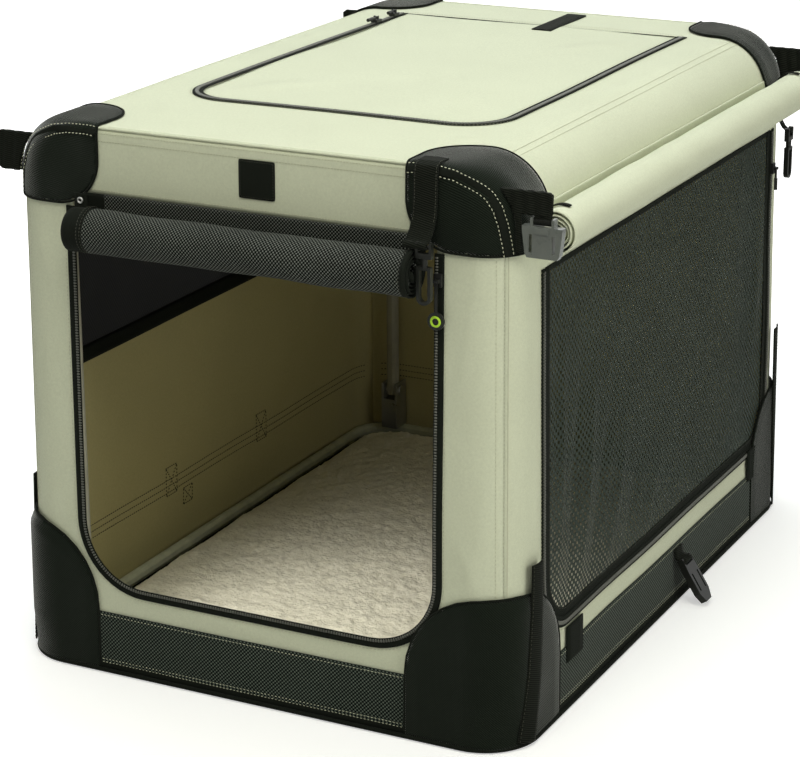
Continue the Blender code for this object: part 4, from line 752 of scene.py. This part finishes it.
ZIP_OFF = FIRST - 0.0003
run = route(on_wall("front"), hole_line(DOOR, 0.5167, TAPE_OUT), 0.004, ZIP_OFF, RIPPLE["front"])
strip("front_zip_tape", "base", run, 0.0104, 0.0011, TAPE, replaced=["front_zip"])
coil("front_zip_coil", "base", run, -1, 0.0034, -0.0026)
zip_stitches("front_zip_stitches", "base", run)
run = route(on_wall("right"), hole_line(SIDE, SIDE_TOP, TAPE_OUT), 0.004, ZIP_OFF, RIPPLE["right"])
half_zip("side_zip", "base", run, True, "side_zip")
zip_stitches("side_zip_stitches", "base", run)
run = route(on_roof, hole_line(FLAP, FLAP_REAR, TAPE_OUT), 0.004, ZIP_OFF, roof_ripple)
half_zip("roof_zip", "top", run, True, "roof_zip")
zip_stitches("roof_zip_stitches", "top", run)
half_zip("flap_zip", "roof_flap", run, False)
zip_stitches("flap_zip_stitches", "roof_flap", run, -0.009)

# Roof, hatch and the bands at the ends
ROOF_REACH = EDGE_X + ROOF_RADIUS * math.pi / 2 + EDGE_Z - WALL_TOP
surround = panel("roof_cloth", (-ROOF_REACH, -0.3975), (ROOF_REACH, 0.3975), 0.0052, on_roof, LINED, 0.0018,
                 lambda u, v: -flap_hole(u, v), roof_ripple)
hold(surround, "top", "roof_surround")
flap = panel("roof_flap_cloth", (FLAP[0], FLAP[2]), (FLAP[1], FLAP_REAR), 0.0052, on_roof, LINED, 0.0018,
             lambda u, v: flap_hole(u, v) + 0.0003, RIPPLE["flap"])
hold(flap, "roof_flap", "roof_flap")

for end in ENDS:
    place = on_wall(end)

    def band_swell(u, z):
        return RIPPLE[end](u, z) * 0.7

    hold(panel(end + "_band_cloth", (-0.3, WALL_TOP + 0.0003), (0.3, TALL - 0.0008), 0.0045, place, LINED,
               0.0018, None, band_swell, fit=reach_to_corner(end)), "top", "roof_surround")
    edge = [(x, SIGN[end] * 0.3996, TALL - 0.0012) for x in np.linspace(-0.19, 0.19, 80)]
    cord_tube(end + "_edge_welt", "top", edge, 0.0016, CREAM)
    runs = [level(place, 0.2, z, 0.005, 0.0004, band_swell) for z in (0.5955, 0.5875, 0.5365)]
    sew(end + "_band_stitches", "top", runs, SEAM_THREAD, pitch=0.0034)

runs = [route(on_roof, [(t, -0.345), (t, 0.345)], 0.006, 0.0003, roof_ripple)
        for t in (-0.252, -0.244, 0.244, 0.252)]
runs += [level(on_roof, 0.186, FLAP_REAR + past, 0.006, 0.0003, roof_ripple) for past in (0.004, 0.012)]
sew("roof_stitches", "top", runs, SEAM_THREAD, pitch=0.0034)
run = route(on_roof, [(-0.184, FLAP_REAR + 0.0005), (0.192, FLAP_REAR + 0.0005)], 0.006, 0.0004)
strip("roof_hinge_seam", "top", run, 0.0016, 0.0006, TAPE, 0.0004, columns=2)

# Roof strap, sewn across the hinge seam
run = route(on_roof, [(0.02, 0.378), (0.02, 0.268)], 0.001, FIRST + 0.0002)
strap = strip("roof_strap_webbing", None, run, 0.025, 0.0014, WEBBING, 0.0002)
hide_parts("roof_strap")
bpy.context.view_layer.update()
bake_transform(strap)

# Mat: a crowned pad with a rough pile
MAT_HALF = (0.262, 0.369)
MAT_BOX = ((-MAT_HALF[0], -MAT_HALF[1]), MAT_HALF, 0.05)
sides = np.linspace(-1, 1, 151) * MAT_HALF[0], np.linspace(-1, 1, 211) * MAT_HALF[1]
u, v = np.meshgrid(*sides, indexing="ij")
for _ in range(3):
    over = np.maximum(round_box(u, v, *MAT_BOX), 0) / np.maximum(np.hypot(u, v), 1e-6)
    u, v = u - over * u, v - over * v
depth = np.maximum(-round_box(u, v, *MAT_BOX), 0)
crown = np.clip(depth / 0.03, 0, 1)
height = 0.0125 + 0.0115 * np.sqrt(1 - (1 - crown) ** 2)
rows, rough = np.random.RandomState(23), np.zeros(u.shape)
for size, rise, waves in ((0.045, 0.001, 8), (0.016, 0.0008, 10), (0.007, 0.0007, 10)):
    for _ in range(waves):
        angle, phase = rows.uniform(0, math.pi), rows.uniform(0, 2 * math.pi)
        warp = 0.6 * np.sin(u / size + phase) + 0.6 * np.sin(v / size * 1.3 - phase)
        across = (u * math.cos(angle) + v * math.sin(angle)) * 2 * math.pi / size
        rough += rise / math.sqrt(waves) * np.sin(across + phase + warp)
top = WALL_LOW + height + (rough + 0.0006) * np.clip(crown * 3, 0.25, 1)
bottom = WALL_LOW + 0.0125 - 0.0122 * np.sqrt(1 - (1 - np.clip(depth / 0.016, 0, 1)) ** 2)
tufts = np.abs(np.sin(6 * u / MAT_HALF[0])) + np.abs(np.sin(8 * v / MAT_HALF[1]))
pull = 1 - 0.012 * tufts * (1 - crown)
points = np.concatenate([np.stack([u * pull, v * pull, z], -1).reshape(-1, 3) for z in (top, bottom)])
number, upper = np.arange(u.size).reshape(u.shape), quads(u.shape).reshape(-1, 4)
rim = np.concatenate([number[0, :-1], number[:-1, -1], number[-1, :0:-1], number[:0:-1, 0]])
edges = [(a, b, b + u.size, a + u.size) for a, b in zip(rim, np.roll(rim, -1))]
mat = skin("fleece_mat_pile", points, [*upper, *(upper[:, ::-1] + u.size), *edges], points[:, :2], [FLEECE])
bm = bmesh.new()
bm.from_mesh(mat.data)
bmesh.ops.remove_doubles(bm, verts=bm.verts, dist=0.00005)
bmesh.ops.recalc_face_normals(bm, faces=bm.faces)
bm.to_mesh(mat.data)
bm.free()
hold(mat, "base", "fleece_mat", stiff=True)

# Top corner caps: where their outline lies, and the line of their seam as x and z
CAP_INNER, CAP_CORNER = (0.176, 0.316, 0.519), 0.05
CAP_SEAM = [(0.1772, 0.5977), (0.187, 0.5984), (0.21, 0.598), (0.227, 0.5957), (0.2444, 0.5882),
            (0.2538, 0.5829), (0.2604, 0.5774), (0.2683, 0.5654), (0.2734, 0.5502), (0.2766, 0.5303),
            (0.2779, 0.519)]


def halving(high, rounds, within):
    """The largest value up to high, at each place, for which within holds."""
    low = np.zeros(high.shape)
    for _ in range(rounds):
        middle = (low + high) / 2
        inside = within(middle)
        low, high = np.where(inside, middle, low), np.where(inside, high, middle)
    return low


def on_corner(sign_x, sign_y):
    """Maps a flat patch, spread over one roof corner from a point inside it, to points and normals."""
    start = np.array([sign_x * 0.12, sign_y * 0.26, 0.44])
    way = np.array([sign_x * 0.15, sign_y * 0.13, 0.15])
    first = unit(np.cross(UP, way))
    second = np.cross(unit(way), first)

    def surface(u, v, off):
        rays = unit(way + u[..., None] * first + v[..., None] * second)

        def within(far):
            x, y, z = np.moveaxis(start + rays * far[..., None], -1, 0)
            wide, deep = half_x(z, off), half_y(z, off)
            depth = round_box(x, y, (-wide, -deep), (wide, deep), plan_radius(z) + off)
            return (depth < 0) & (z < TALL + off)

        return start + rays * halving(np.full(u.shape, 0.6), 26, within)[..., None]

    def place(u, v, off=0.0):
        u, v = both(u, v)
        points, step = surface(u, v, off), 0.0012
        across = surface(u + step, v, off) - surface(u - step, v, off)
        along = surface(u, v + step, off) - surface(u, v - step, off)
        normals = unit(np.cross(across, along))
        return points, normals * np.where((normals * (points - start)).sum(-1) < 0, -1.0, 1.0)[..., None]

    return place, surface


def cap_depth(points):
    """How far outside the cap's outline a point of the shell lies, negative within it."""
    inner = np.add(CAP_INNER, CAP_CORNER) - np.abs(points)
    return np.linalg.norm(np.maximum(inner, 0), axis=-1) + np.minimum(inner.max(-1), 0) - CAP_CORNER


def cap_rim(place, surface, off):
    """The cap's outline on the shell."""
    angle = np.linspace(0, 2 * math.pi, 241)

    def within(far):
        return cap_depth(surface(far * np.cos(angle), far * np.sin(angle), off)) < 0

    far = halving(np.full(angle.size, 0.22), 24, within)
    return place(far * np.cos(angle), far * np.sin(angle), off)[0][:-1]


def seam_run(sign_x, sign_y, off):
    """The cap's seam: along the end's top edge, then down round the corner."""
    x, z = even(CAP_SEAM, 0.003).T
    wide, deep, radius = half_x(z, off), half_y(z, off), plan_radius(z) + off
    over = np.clip(x - (wide - radius), 0, radius * 0.98)
    y = deep - radius + np.sqrt(radius ** 2 - over ** 2)
    tilt = np.clip((z - 0.5955) / 0.004, 0, 0.7)
    normals = np.stack([sign_x * over / radius, sign_y * np.sqrt(1 - (over / radius) ** 2), tilt], -1)
    return np.stack([sign_x * x, sign_y * y, z], -1), unit(normals)


for end, side in CORNERS:
    place, surface = on_corner(SIGN[side], SIGN[end])

    def cap_shape(u, v):
        return cap_depth(surface(u, v, 0.0))

    def cap_swell(u, v):
        x, y, z = np.moveaxis(surface(u, v, 0.0), -1, 0)
        puff = np.clip(-cap_shape(u, v) / 0.014, 0, 1)
        return (0.0012 + 0.0005 * np.sin(x * 71 + z * 55) * np.sin(y * 63 + 1.3)) * puff

    label = f"top_cap_{end}_{side}"
    hold(panel(label + "_cloth", (-0.2, -0.2), (0.2, 0.2), 0.0036, place, [TWILL], 0.002, cap_shape,
               cap_swell, FIRST + 0.0004), "top", label)
    cord_tube(label + "_piping", "top", cap_rim(place, surface, FIRST + 0.0004), 0.0013, TAPE, 1, True)
    run = seam_run(SIGN[side], SIGN[end], FIRST + 0.0014)
    strip(label + "_seam_band", "top", run, 0.0076, 0.0012, TAPE, 0.0004)
    run = lifted(run, 0.0015)
    stitches = sew(label + "_seam_stitches", "top", [run], THREAD, (0.005, -0.005), width=0.0009)


# Cloth rolled up over its opening

def roll(name, along, low, high, centre, outer, turns, pitch, sewn, finishes, bands, wave):
    """Cloth that comes down from its seam and winds inwards. The section is (away from the wall, z)."""
    sewn = np.array(sewn)
    tail = sewn + np.linspace(0, 1, 10)[:-1, None] * ((centre[0] - outer, centre[1]) - sewn)
    angle = np.arange(0, turns * 2 * math.pi, math.radians(11))[:, None]
    angles = np.concatenate([np.zeros((len(tail), 1)), angle])
    share = np.linspace(0, 1, max(20, int((high - low) / 0.006)) + 1)
    ends = (0.0014 * np.sin(angles * 0.7 + 1) + 0.0009 * np.sin(angles * 2.3)) * (angles > 6.0)
    place = low + share * (high - low) + ends * np.sign(share - 0.5)
    uneven = (np.sin(place * 34 + angles * 2.0) * np.sin(place * 13 + 0.8)
              + 0.6 * np.sin(place * 61 + angles * 3.0 + 2))[len(tail):]
    radius = outer - pitch * angle / (2 * math.pi) + wave * uneven * np.clip(angle / 1.2, 0, 1)
    wound = centre[0] - radius * np.cos(angle), centre[1] - radius * np.sin(angle)
    away, z = [np.concatenate([np.repeat(tail[:, i:i + 1], share.size, 1), wound[i]]) for i in (0, 1)]
    points = upright(along, place, away, z)
    run = run_length(points[:, (share.size - 1) // 2])
    uvs = np.stack(np.broadcast_arrays(place, run[:, None]), -1).reshape(-1, 2)
    piece = skin(name, points.reshape(-1, 3), quads(place.shape).reshape(-1, 4), uvs, finishes)
    middle = (place[:-1, :-1] + place[1:, 1:]).ravel() / 2
    banded = ((middle < low + bands[0]) | (middle > high - bands[1])).astype(np.int32)
    piece.data.polygons.foreach_set("material_index", banded)
    return thicken(piece, 0.0013, lined=False)


def round_roll(along, place, centre, radius, low=20, high=330):
    """A run round a roll, from under it to its back, for stitches and bands."""
    angle = np.radians(np.arange(low, high, 8))
    away, z = -np.cos(angle), -np.sin(angle)
    points = upright(along, place, centre[0] + radius * away, centre[1] + radius * z)
    return points, upright(along, 0.0, away, z)


FRONT_ROLL, FRONT_ROUND = (0.4292, 0.5015), 0.0232
front_roll = roll("front_door_rolled", "x", -0.192, 0.197, FRONT_ROLL, FRONT_ROUND, 4.6, 0.0037,
                  (0.4068, 0.5335), [ROLL, TAPE], (0.022, 0.004), 0.0006)
hold(front_roll, "top", "front_door_roll")
runs = [round_roll("x", x, FRONT_ROLL, FRONT_ROUND + 0.0006) for x in (-0.173, -0.169, 0.1905)]
sew("front_roll_stitches", "top", runs, DARK_THREAD, pitch=0.0036, width=0.0007)
for label, x, width, thickness, crown in (("binding", -0.171, 0.0022, 0.001, 0.0006),
                                          ("rim", 0.1945, 0.005, 0.0012, 0.0007)):
    run = round_roll("x", x, FRONT_ROLL, FRONT_ROUND + 0.0002)
    strip("front_roll_" + label, "top", run, width, thickness, TAPE, crown)

SIDE_ROLL, SIDE_ROUND = (0.3108, 0.5385), 0.0226
side_roll = roll("side_cover_rolled", "y", -0.358, 0.371, SIDE_ROLL, SIDE_ROUND, 4.4, 0.0038,
                 (0.2862, 0.556), [CREAM, CREAM], (0.0, 0.0), 0.0004)
hold(side_roll, "top", "side_cover_roll")
for label, y in (("front", -0.336), ("rear", 0.352)):
    run = round_roll("y", y, SIDE_ROLL, SIDE_ROUND + 0.001, 252, 330)
    strip("side_roll_tie_" + label, "top", run, 0.006, 0.0012, WEBBING)


# Webbing that stands out at the top corners, in the plane of their seams

def board(name, sign_y, y, low, high, radius, folds, *replaced):
    def shape(u, v):
        return np.maximum(round_box(u, v, low, high, radius), half_x(v, -0.002) - np.abs(u))

    def pleats(u, v):
        far_out = np.clip((np.abs(u) - 0.262) / 0.02, 0, 1)
        return folds * np.sin(np.abs(u) * 2 * math.pi / 0.0125 + v * 60) * far_out

    place, thickness = on_plane((0, y, 0), UP, (0, sign_y, 0)), 0.0022
    piece = panel(name, low, high, 0.0016, place, [WEBBING], thickness, shape, pleats, thickness / 2)
    hold(piece, "top", *replaced)


# Near and far x, low and high z, corner radius and height of the pleats
PLAIN_LOOP = (0.255, 0.3095, 0.5425, 0.5835, 0.003, 0.0008)
BUCKLE_LOOP = (0.258, 0.3208, 0.5612, 0.5842, 0.004, 0.0009)
LOOP_Y = 0.385
for corner in ("front_left", "rear_left", "rear_right", "front_right"):
    end, side = corner.split("_")
    sign_x, sign_y = SIGN[side], SIGN[end]
    near, far, low, high, radius, folds = BUCKLE_LOOP if corner == "front_right" else PLAIN_LOOP
    low_x, high_x = sorted((sign_x * near, sign_x * far))
    for layer, out, replaced in (("outer", 1, ["corner_loop_" + corner]), ("inner", -1, [])):
        board(f"corner_webbing_{corner}_{layer}", sign_y, sign_y * (LOOP_Y + 0.0016 * out), (low_x, low),
              (high_x, high), radius, folds * out, *replaced)
    if corner != "front_right":
        fold = [(sign_x * 0.3092, sign_y * LOOP_Y, z) for z in np.linspace(0.5455, 0.5805, 16)]
        cord_tube(f"corner_webbing_{corner}_fold", "top", fold, 0.0028, WEBBING)

# The front right loop goes on down to its buckle
LOOP_FRONT = -0.3872
board("corner_webbing_lower", -1, LOOP_FRONT, (0.258, 0.5225), (0.2898, 0.5665), 0.002, 0.0006)
sleeve = [(x, -LOOP_Y, 0.5555) for x in np.linspace(0.3024, 0.3208, 8)]
cord_tube("corner_webbing_sleeve", "top", sleeve, 0.0036, WEBBING, 3)
drop = np.array([(0.3116, LOOP_FRONT, z) for z in np.linspace(0.5562, 0.565, 5)])
strip("corner_webbing_drop", "top", (drop, drop * 0 + (0, -1, 0)), 0.0184, 0.0016, WEBBING)

# Front strap: over the roof's edge, down the cap, out and round the hook's pin
line = [(0.384, 0.6066), (0.4, 0.6064), (0.4075, 0.603), (0.4092, 0.596), (0.41, 0.575),
        (0.412, 0.556), (0.4185, 0.543), (0.4262, 0.5352)] + arc((0.4309, 0.5305), 0.0036, 120, -140, 14)
run = section("x", 0.1992, line, 0.0018)
strip("front_strap_webbing", "top", run, 0.0255, 0.0015, WEBBING, 0.0003, 0.0, 8, ["front_strap"])
run = lifted((run[0][4:44], run[1][4:44]), 0.0003)
sew("front_strap_stitches", "top", [run], DARK_THREAD, (-0.0112, 0.0112), 0.0034)

# Side strap, from under the roll to its hook
line = [(0.2895, 0.533), (0.2905, 0.512), (0.2915, 0.4985), (0.2955, 0.4915)]
run = section("y", 0.371, line + arc((0.3019, 0.4865), 0.0036, 140, -140, 15), 0.0012)
strip("side_strap_webbing", "top", run, 0.0105, 0.0014, WEBBING, replaced=["side_strap"])

# Belt loop at the right side: a short web sewn on the belt that carries the buckle
line = [(0.299, 0.066), (0.3003, 0.056)] + arc((0.3077, 0.0507), 0.004, 130, -130, 14)
run = section("y", 0.045, line, 0.0012)
strip("belt_loop_webbing", "base", run, 0.0245, 0.0014, WEBBING, replaced=["belt_loop_right"])

# Bare label patch on the front band
place = on_wall("front")
PATCH = ((-0.0105, 0.5475), (0.0305, 0.5868))
patch = panel("label_patch", *PATCH, 0.003, place, [TAPE], 0.001,
              lambda u, z: round_box(u, z, *PATCH, 0.0015), None, 0.0012)
hold(patch, "top")
run = route(place, box_line((-0.0088, 0.5492), (0.0288, 0.5851), 0.0012), 0.002, 0.0013)
sew("label_patch_stitches", "top", [run], DARK_THREAD, pitch=0.0028, length=0.0018, width=0.0005)

# Black tab with a rivet that holds the front roll
TAB_X = -0.195
run = route(place, [(TAB_X, 0.5325), (TAB_X, 0.516)], 0.002, 0.0066)
strip("front_roll_tab", "top", run, 0.015, 0.0016, TAPE, 0.0002)
x, y, z = place(TAB_X, 0.5255, 0.0074)[0]
ring = [(u, y, v) for u, v in arc((x, z), 0.0026, 0, 336, 15)]
cord_tube("front_roll_rivet", "top", ring, 0.0011, STEEL, 2, True)

# Upright webbing sewn down the lower corners, and the tabs on the belt
WEB_LINE = {"front": [(-0.358, 0.196), (-0.36, 0.15), (-0.366, 0.08), (-0.379, 0.006)],
            "rear": [(0.369, 0.24), (0.3695, 0.15), (0.373, 0.08), (0.382, 0.006)]}
for end, side in CORNERS:
    label = f"corner_web_{end}_{side}"
    run = route(on_wall(side), WEB_LINE[end], 0.004, SECOND + 0.004)
    strip(label, "base", run, 0.025, 0.0018, WEBBING, 0.0016, columns=6)
    run = lifted(run, 0.0004)
    sew(label + "_stitches", "base", [run], DARK_THREAD, (-0.0108, 0.0108), width=0.0007)

for label, y, high in (("front", -0.255, 0.092), ("rear", 0.302, 0.104)):
    run = route(on_wall("right"), [(y, high), (y, high - 0.04)], 0.004, FIRST + 0.002)
    strip("belt_tab_" + label, "base", run, 0.042, 0.0016, TAPE, 0.0003)

# Welts: the bound lower edge, and the seams up the corners
PIPING_OUT = 0.0046
far = (WIDE + PIPING_OUT, LONG + PIPING_OUT)
ring = even(box_line((-far[0], -far[1]), far, BASE_RADIUS + PIPING_OUT, 13), 0.006)[:-1]
cord_tube("base_piping", "base", [(x, y, 0.0034) for x, y in ring], 0.0024, TAPE, 2, True)

z = np.linspace(0.15, 0.53, 96)
for end, side in CORNERS:
    reach = reach_to_corner(end)(z) + 0.004
    seam, *runs = [on_wall(end)(SIGN[side] * (reach - back), z, 0.0002) for back in (0.0, 0.004, 0.0125)]
    strip(f"corner_seam_{end}_{side}", "base", seam, 0.0011, 0.0006, SEAM_THREAD, 0.0003, columns=2)
    sew(f"corner_seam_stitches_{end}_{side}", "base", runs, SEAM_THREAD)

# Stitching inside: three rows along the left, rear and right walls, and crossed boxes
BOXES = (((-0.116, 0.082), (-0.092, 0.118)), ((0.1, 0.082), (0.124, 0.118)),
         ((-0.0765, 0.059), (-0.0555, 0.08)))
for face, reach in (("left", 0.385), ("rear", 0.27), ("right", 0.385)):
    place, swell = on_wall(face), RIPPLE[face]
    runs = [level(place, reach, z, 0.008, -0.002, swell) for z in (0.086, 0.094, 0.102)]
    for a, c in BOXES if face == "left" else ():
        b, d = (c[0], a[1]), (a[0], c[1])
        crossed = ((a, b), (b, c), (c, d), (d, a), (a, c), (d, b))
        runs += [route(place, line, 0.004, -0.0022, swell) for line in crossed]
    runs = [(points, -normals) for points, normals in runs]
    sew("inner_stitches_" + face, "base", runs, DARK_THREAD, width=0.0014)


# Side door: a slack net with its binding and its half of the zip

def side_ripple(u, v):
    calm = np.clip(-side_hole(u, v) / 0.022, 0, 1)
    return RIPPLE["right"](u, v) * (1 - calm) + (SIDE_FOLDS(u, v) + 0.0012 * np.sin(v * 16 + u * 5)) * calm


place, swell = on_wall("right"), RIPPLE["right"]
door_net = panel("side_door_net", (SIDE[0], SIDE[2]), (SIDE[1], SIDE_TOP), 0.0046, place, [SIDE_NET], 0.0,
                 lambda u, v: side_hole(u, v) + 0.0004, side_ripple, -0.0004)
hold(door_net, "side_door", "side_door")
run = route(place, hole_line(SIDE, SIDE_TOP - 0.001, TAPE_OUT), 0.004, ZIP_OFF, swell)
half_zip("side_door", "side_door", run, False)
run = route(place, hole_line(SIDE, SIDE_TOP - 0.001, -0.006), 0.004, 0.0006, swell)
strip("side_door_binding", "side_door", run, 0.01, 0.001, TAPE)
sew("side_door_stitches", "side_door", [run], DARK_THREAD, (-0.0036,))
run = route(place, [(SIDE[0], SIDE_TOP - 0.003), (SIDE[1], SIDE_TOP - 0.003)], 0.005, 0.0006)
strip("side_door_head", "side_door", run, 0.006, 0.001, TAPE)

# Printed ring on the front zip's pull
ring = [(x, -0.4127, z) for x, z in arc((0.2113, 0.4509), 0.0046, 0, 345, 24)]
cord_tube("front_pull_ring", "front_pull", ring, 0.0012, LIME, 2, True)

# Floor panel: the thin sheet under the mat
floor_cloth = panel("floor_cloth", (-0.2986, -0.4146), (0.2986, 0.4146), 0.012,
                    on_plane((0, 0, 0.003), (0, 1, 0), UP), [TAPE], 0.0022,
                    lambda u, v: round_box(u, v, (-0.298, -0.414), (0.298, 0.414), 0.058))
hold(floor_cloth, "base", "floor_panel", stiff=True)

# Stage: white to the camera, with the object's shadow kept
stage = Finish("stage_white", (0.82, 0.82, 0.82), 0.9, shine=0.0)
spot = stage.add("TexCoord").outputs["Object"]
far = stage.add("VectorMath", {0: spot}, operation="LENGTH").outputs["Value"]
glow = stage.add("Emission", {"Strength": stage.smooth(far, 0.55, 1.6, 0.45, 1.1)}).outputs[0]
none = stage.add("Emission", {"Strength": 0.0}).outputs[0]
seen = stage.add("LightPath").outputs["Is Camera Ray"]
pick = stage.add("MixShader", {0: seen, 1: none, 2: glow}).outputs[0]
total = stage.add("AddShader", {0: stage.shader.outputs[0], 1: pick})
stage.tree.links.new(total.outputs[0], stage.tree.nodes["Material Output"].inputs["Surface"])
bm = bmesh.new()
bmesh.ops.create_grid(bm, x_segments=1, y_segments=1, size=14.0)
mesh = bpy.data.meshes.new("floor")
bm.to_mesh(mesh)
bm.free()
mesh.materials.append(stage.material)
link("floor", mesh)

# World: soft light, and white where it is seen straight, in a gloss or through a clear piece
world = bpy.data.worlds.new("studio")
bpy.context.scene.world = world
world.use_nodes = True
tree = world.node_tree
soft = tree.nodes["Background"]
soft.inputs["Color"].default_value = (1.0, 0.99, 0.87, 1)
soft.inputs["Strength"].default_value = 0.16
white = add_node(tree, "Background", {"Color": (1, 1, 1, 1), "Strength": 1.0})
rays = add_node(tree, "LightPath").outputs
seen = rays["Is Camera Ray"]
for name in ("Is Glossy Ray", "Is Transmission Ray"):
    seen = add_node(tree, "Math", {0: seen, 1: rays[name]}, operation="MAXIMUM").outputs[0]
pick = add_node(tree, "MixShader", {0: seen, 1: soft.outputs[0], 2: white.outputs[0]})
tree.links.new(pick.outputs[0], tree.nodes["World Output"].inputs["Surface"])


def collection_of(name, pieces):
    made = bpy.data.collections.new(name)
    for piece in pieces:
        made.objects.link(piece)
    return made


def lamp(name, place, target, power, size, colour=(1, 1, 1), only=(), spread=180, through=()):
    """An area lamp. With only, it lights just those pieces; it shines through those in through."""
    data = bpy.data.lights.new(name, "AREA")
    data.energy = power
    data.shape = "RECTANGLE"
    data.size = data.size_y = size
    data.color = colour
    data.spread = math.radians(spread)
    light = link(name, data)
    light.location = place
    light.rotation_euler = (Vector(target) - Vector(place)).to_track_quat("-Z", "Y").to_euler()
    if only:
        light.light_linking.receiver_collection = collection_of(name + "_lit", only)
    if through:
        clear = collection_of(name + "_clear", through)
        for entry in clear.collection_objects:
            entry.light_linking.link_state = "EXCLUDE"
        light.light_linking.blocker_collection = clear


lamp("key", (0.55, -1.45, 2.45), (0, -0.1, 0.3), 34, 1.5, (1.0, 1.0, 0.88))
lamp("overhead", (-0.2, 0.5, 2.8), (0, 0, 0.3), 43, 1.6, (0.92, 0.97, 1.0))
lamp("side_fill", (3.0, -0.7, 1.2), (0, 0, 0.3), 27, 1.3, (1.0, 1.0, 0.92))
lamp("left_fill", (-2.6, 0.2, 1.6), (0, 0, 0.3), 9, 1.6)
lamp("doorway_fill", (-0.4, -1.25, 1.25), (0.08, -0.15, 0.02), 17, 0.5, (1.0, 0.99, 0.93), (mat,))
lamp("mesh_fill", (0.75, -0.75, 0.95), (0.2, -0.25, 0.02), 0.07, 0.2, (1.0, 0.99, 0.9), (mat,), 24,
     (door_net,))
bpy.context.scene.view_settings.view_transform = "Standard"

# Solids that keep their own form get a finish by their name's start or end, and rounded edges
# The corner buckle's finish has painted reflection in its colour
FINISHES = (("base_frame", SLEEVE), ("front_hoop", TUBE), ("rear_hoop", TUBE), ("top_frame", TUBE),
            ("hinge_", STEEL), ("top_runner", BLACK), ("front_catch", BLACK), ("_slider", DARK_STEEL),
            ("_pull", BLACK), ("_hook", BLACK), ("belt_buckle", BLACK), ("corner_buckle", BUCKLE_PAINTED_REFLECTION))
for name, node in nodes.items():
    finish = next((made for part, made in FINISHES if name.startswith(part) or name.endswith(part)), None)
    if finish is None:
        continue
    node.data.materials.clear()
    node.data.materials.append(finish.material)
    node.modifiers.new("weld", "WELD").merge_threshold = 0.00001
    if finish not in (TUBE, SLEEVE):
        bevel = node.modifiers.new("bevel", "BEVEL")
        bevel.width = 0.0003
        bevel.segments = 2
        bevel.limit_method = "ANGLE"
        bevel.angle_limit = math.radians(40)
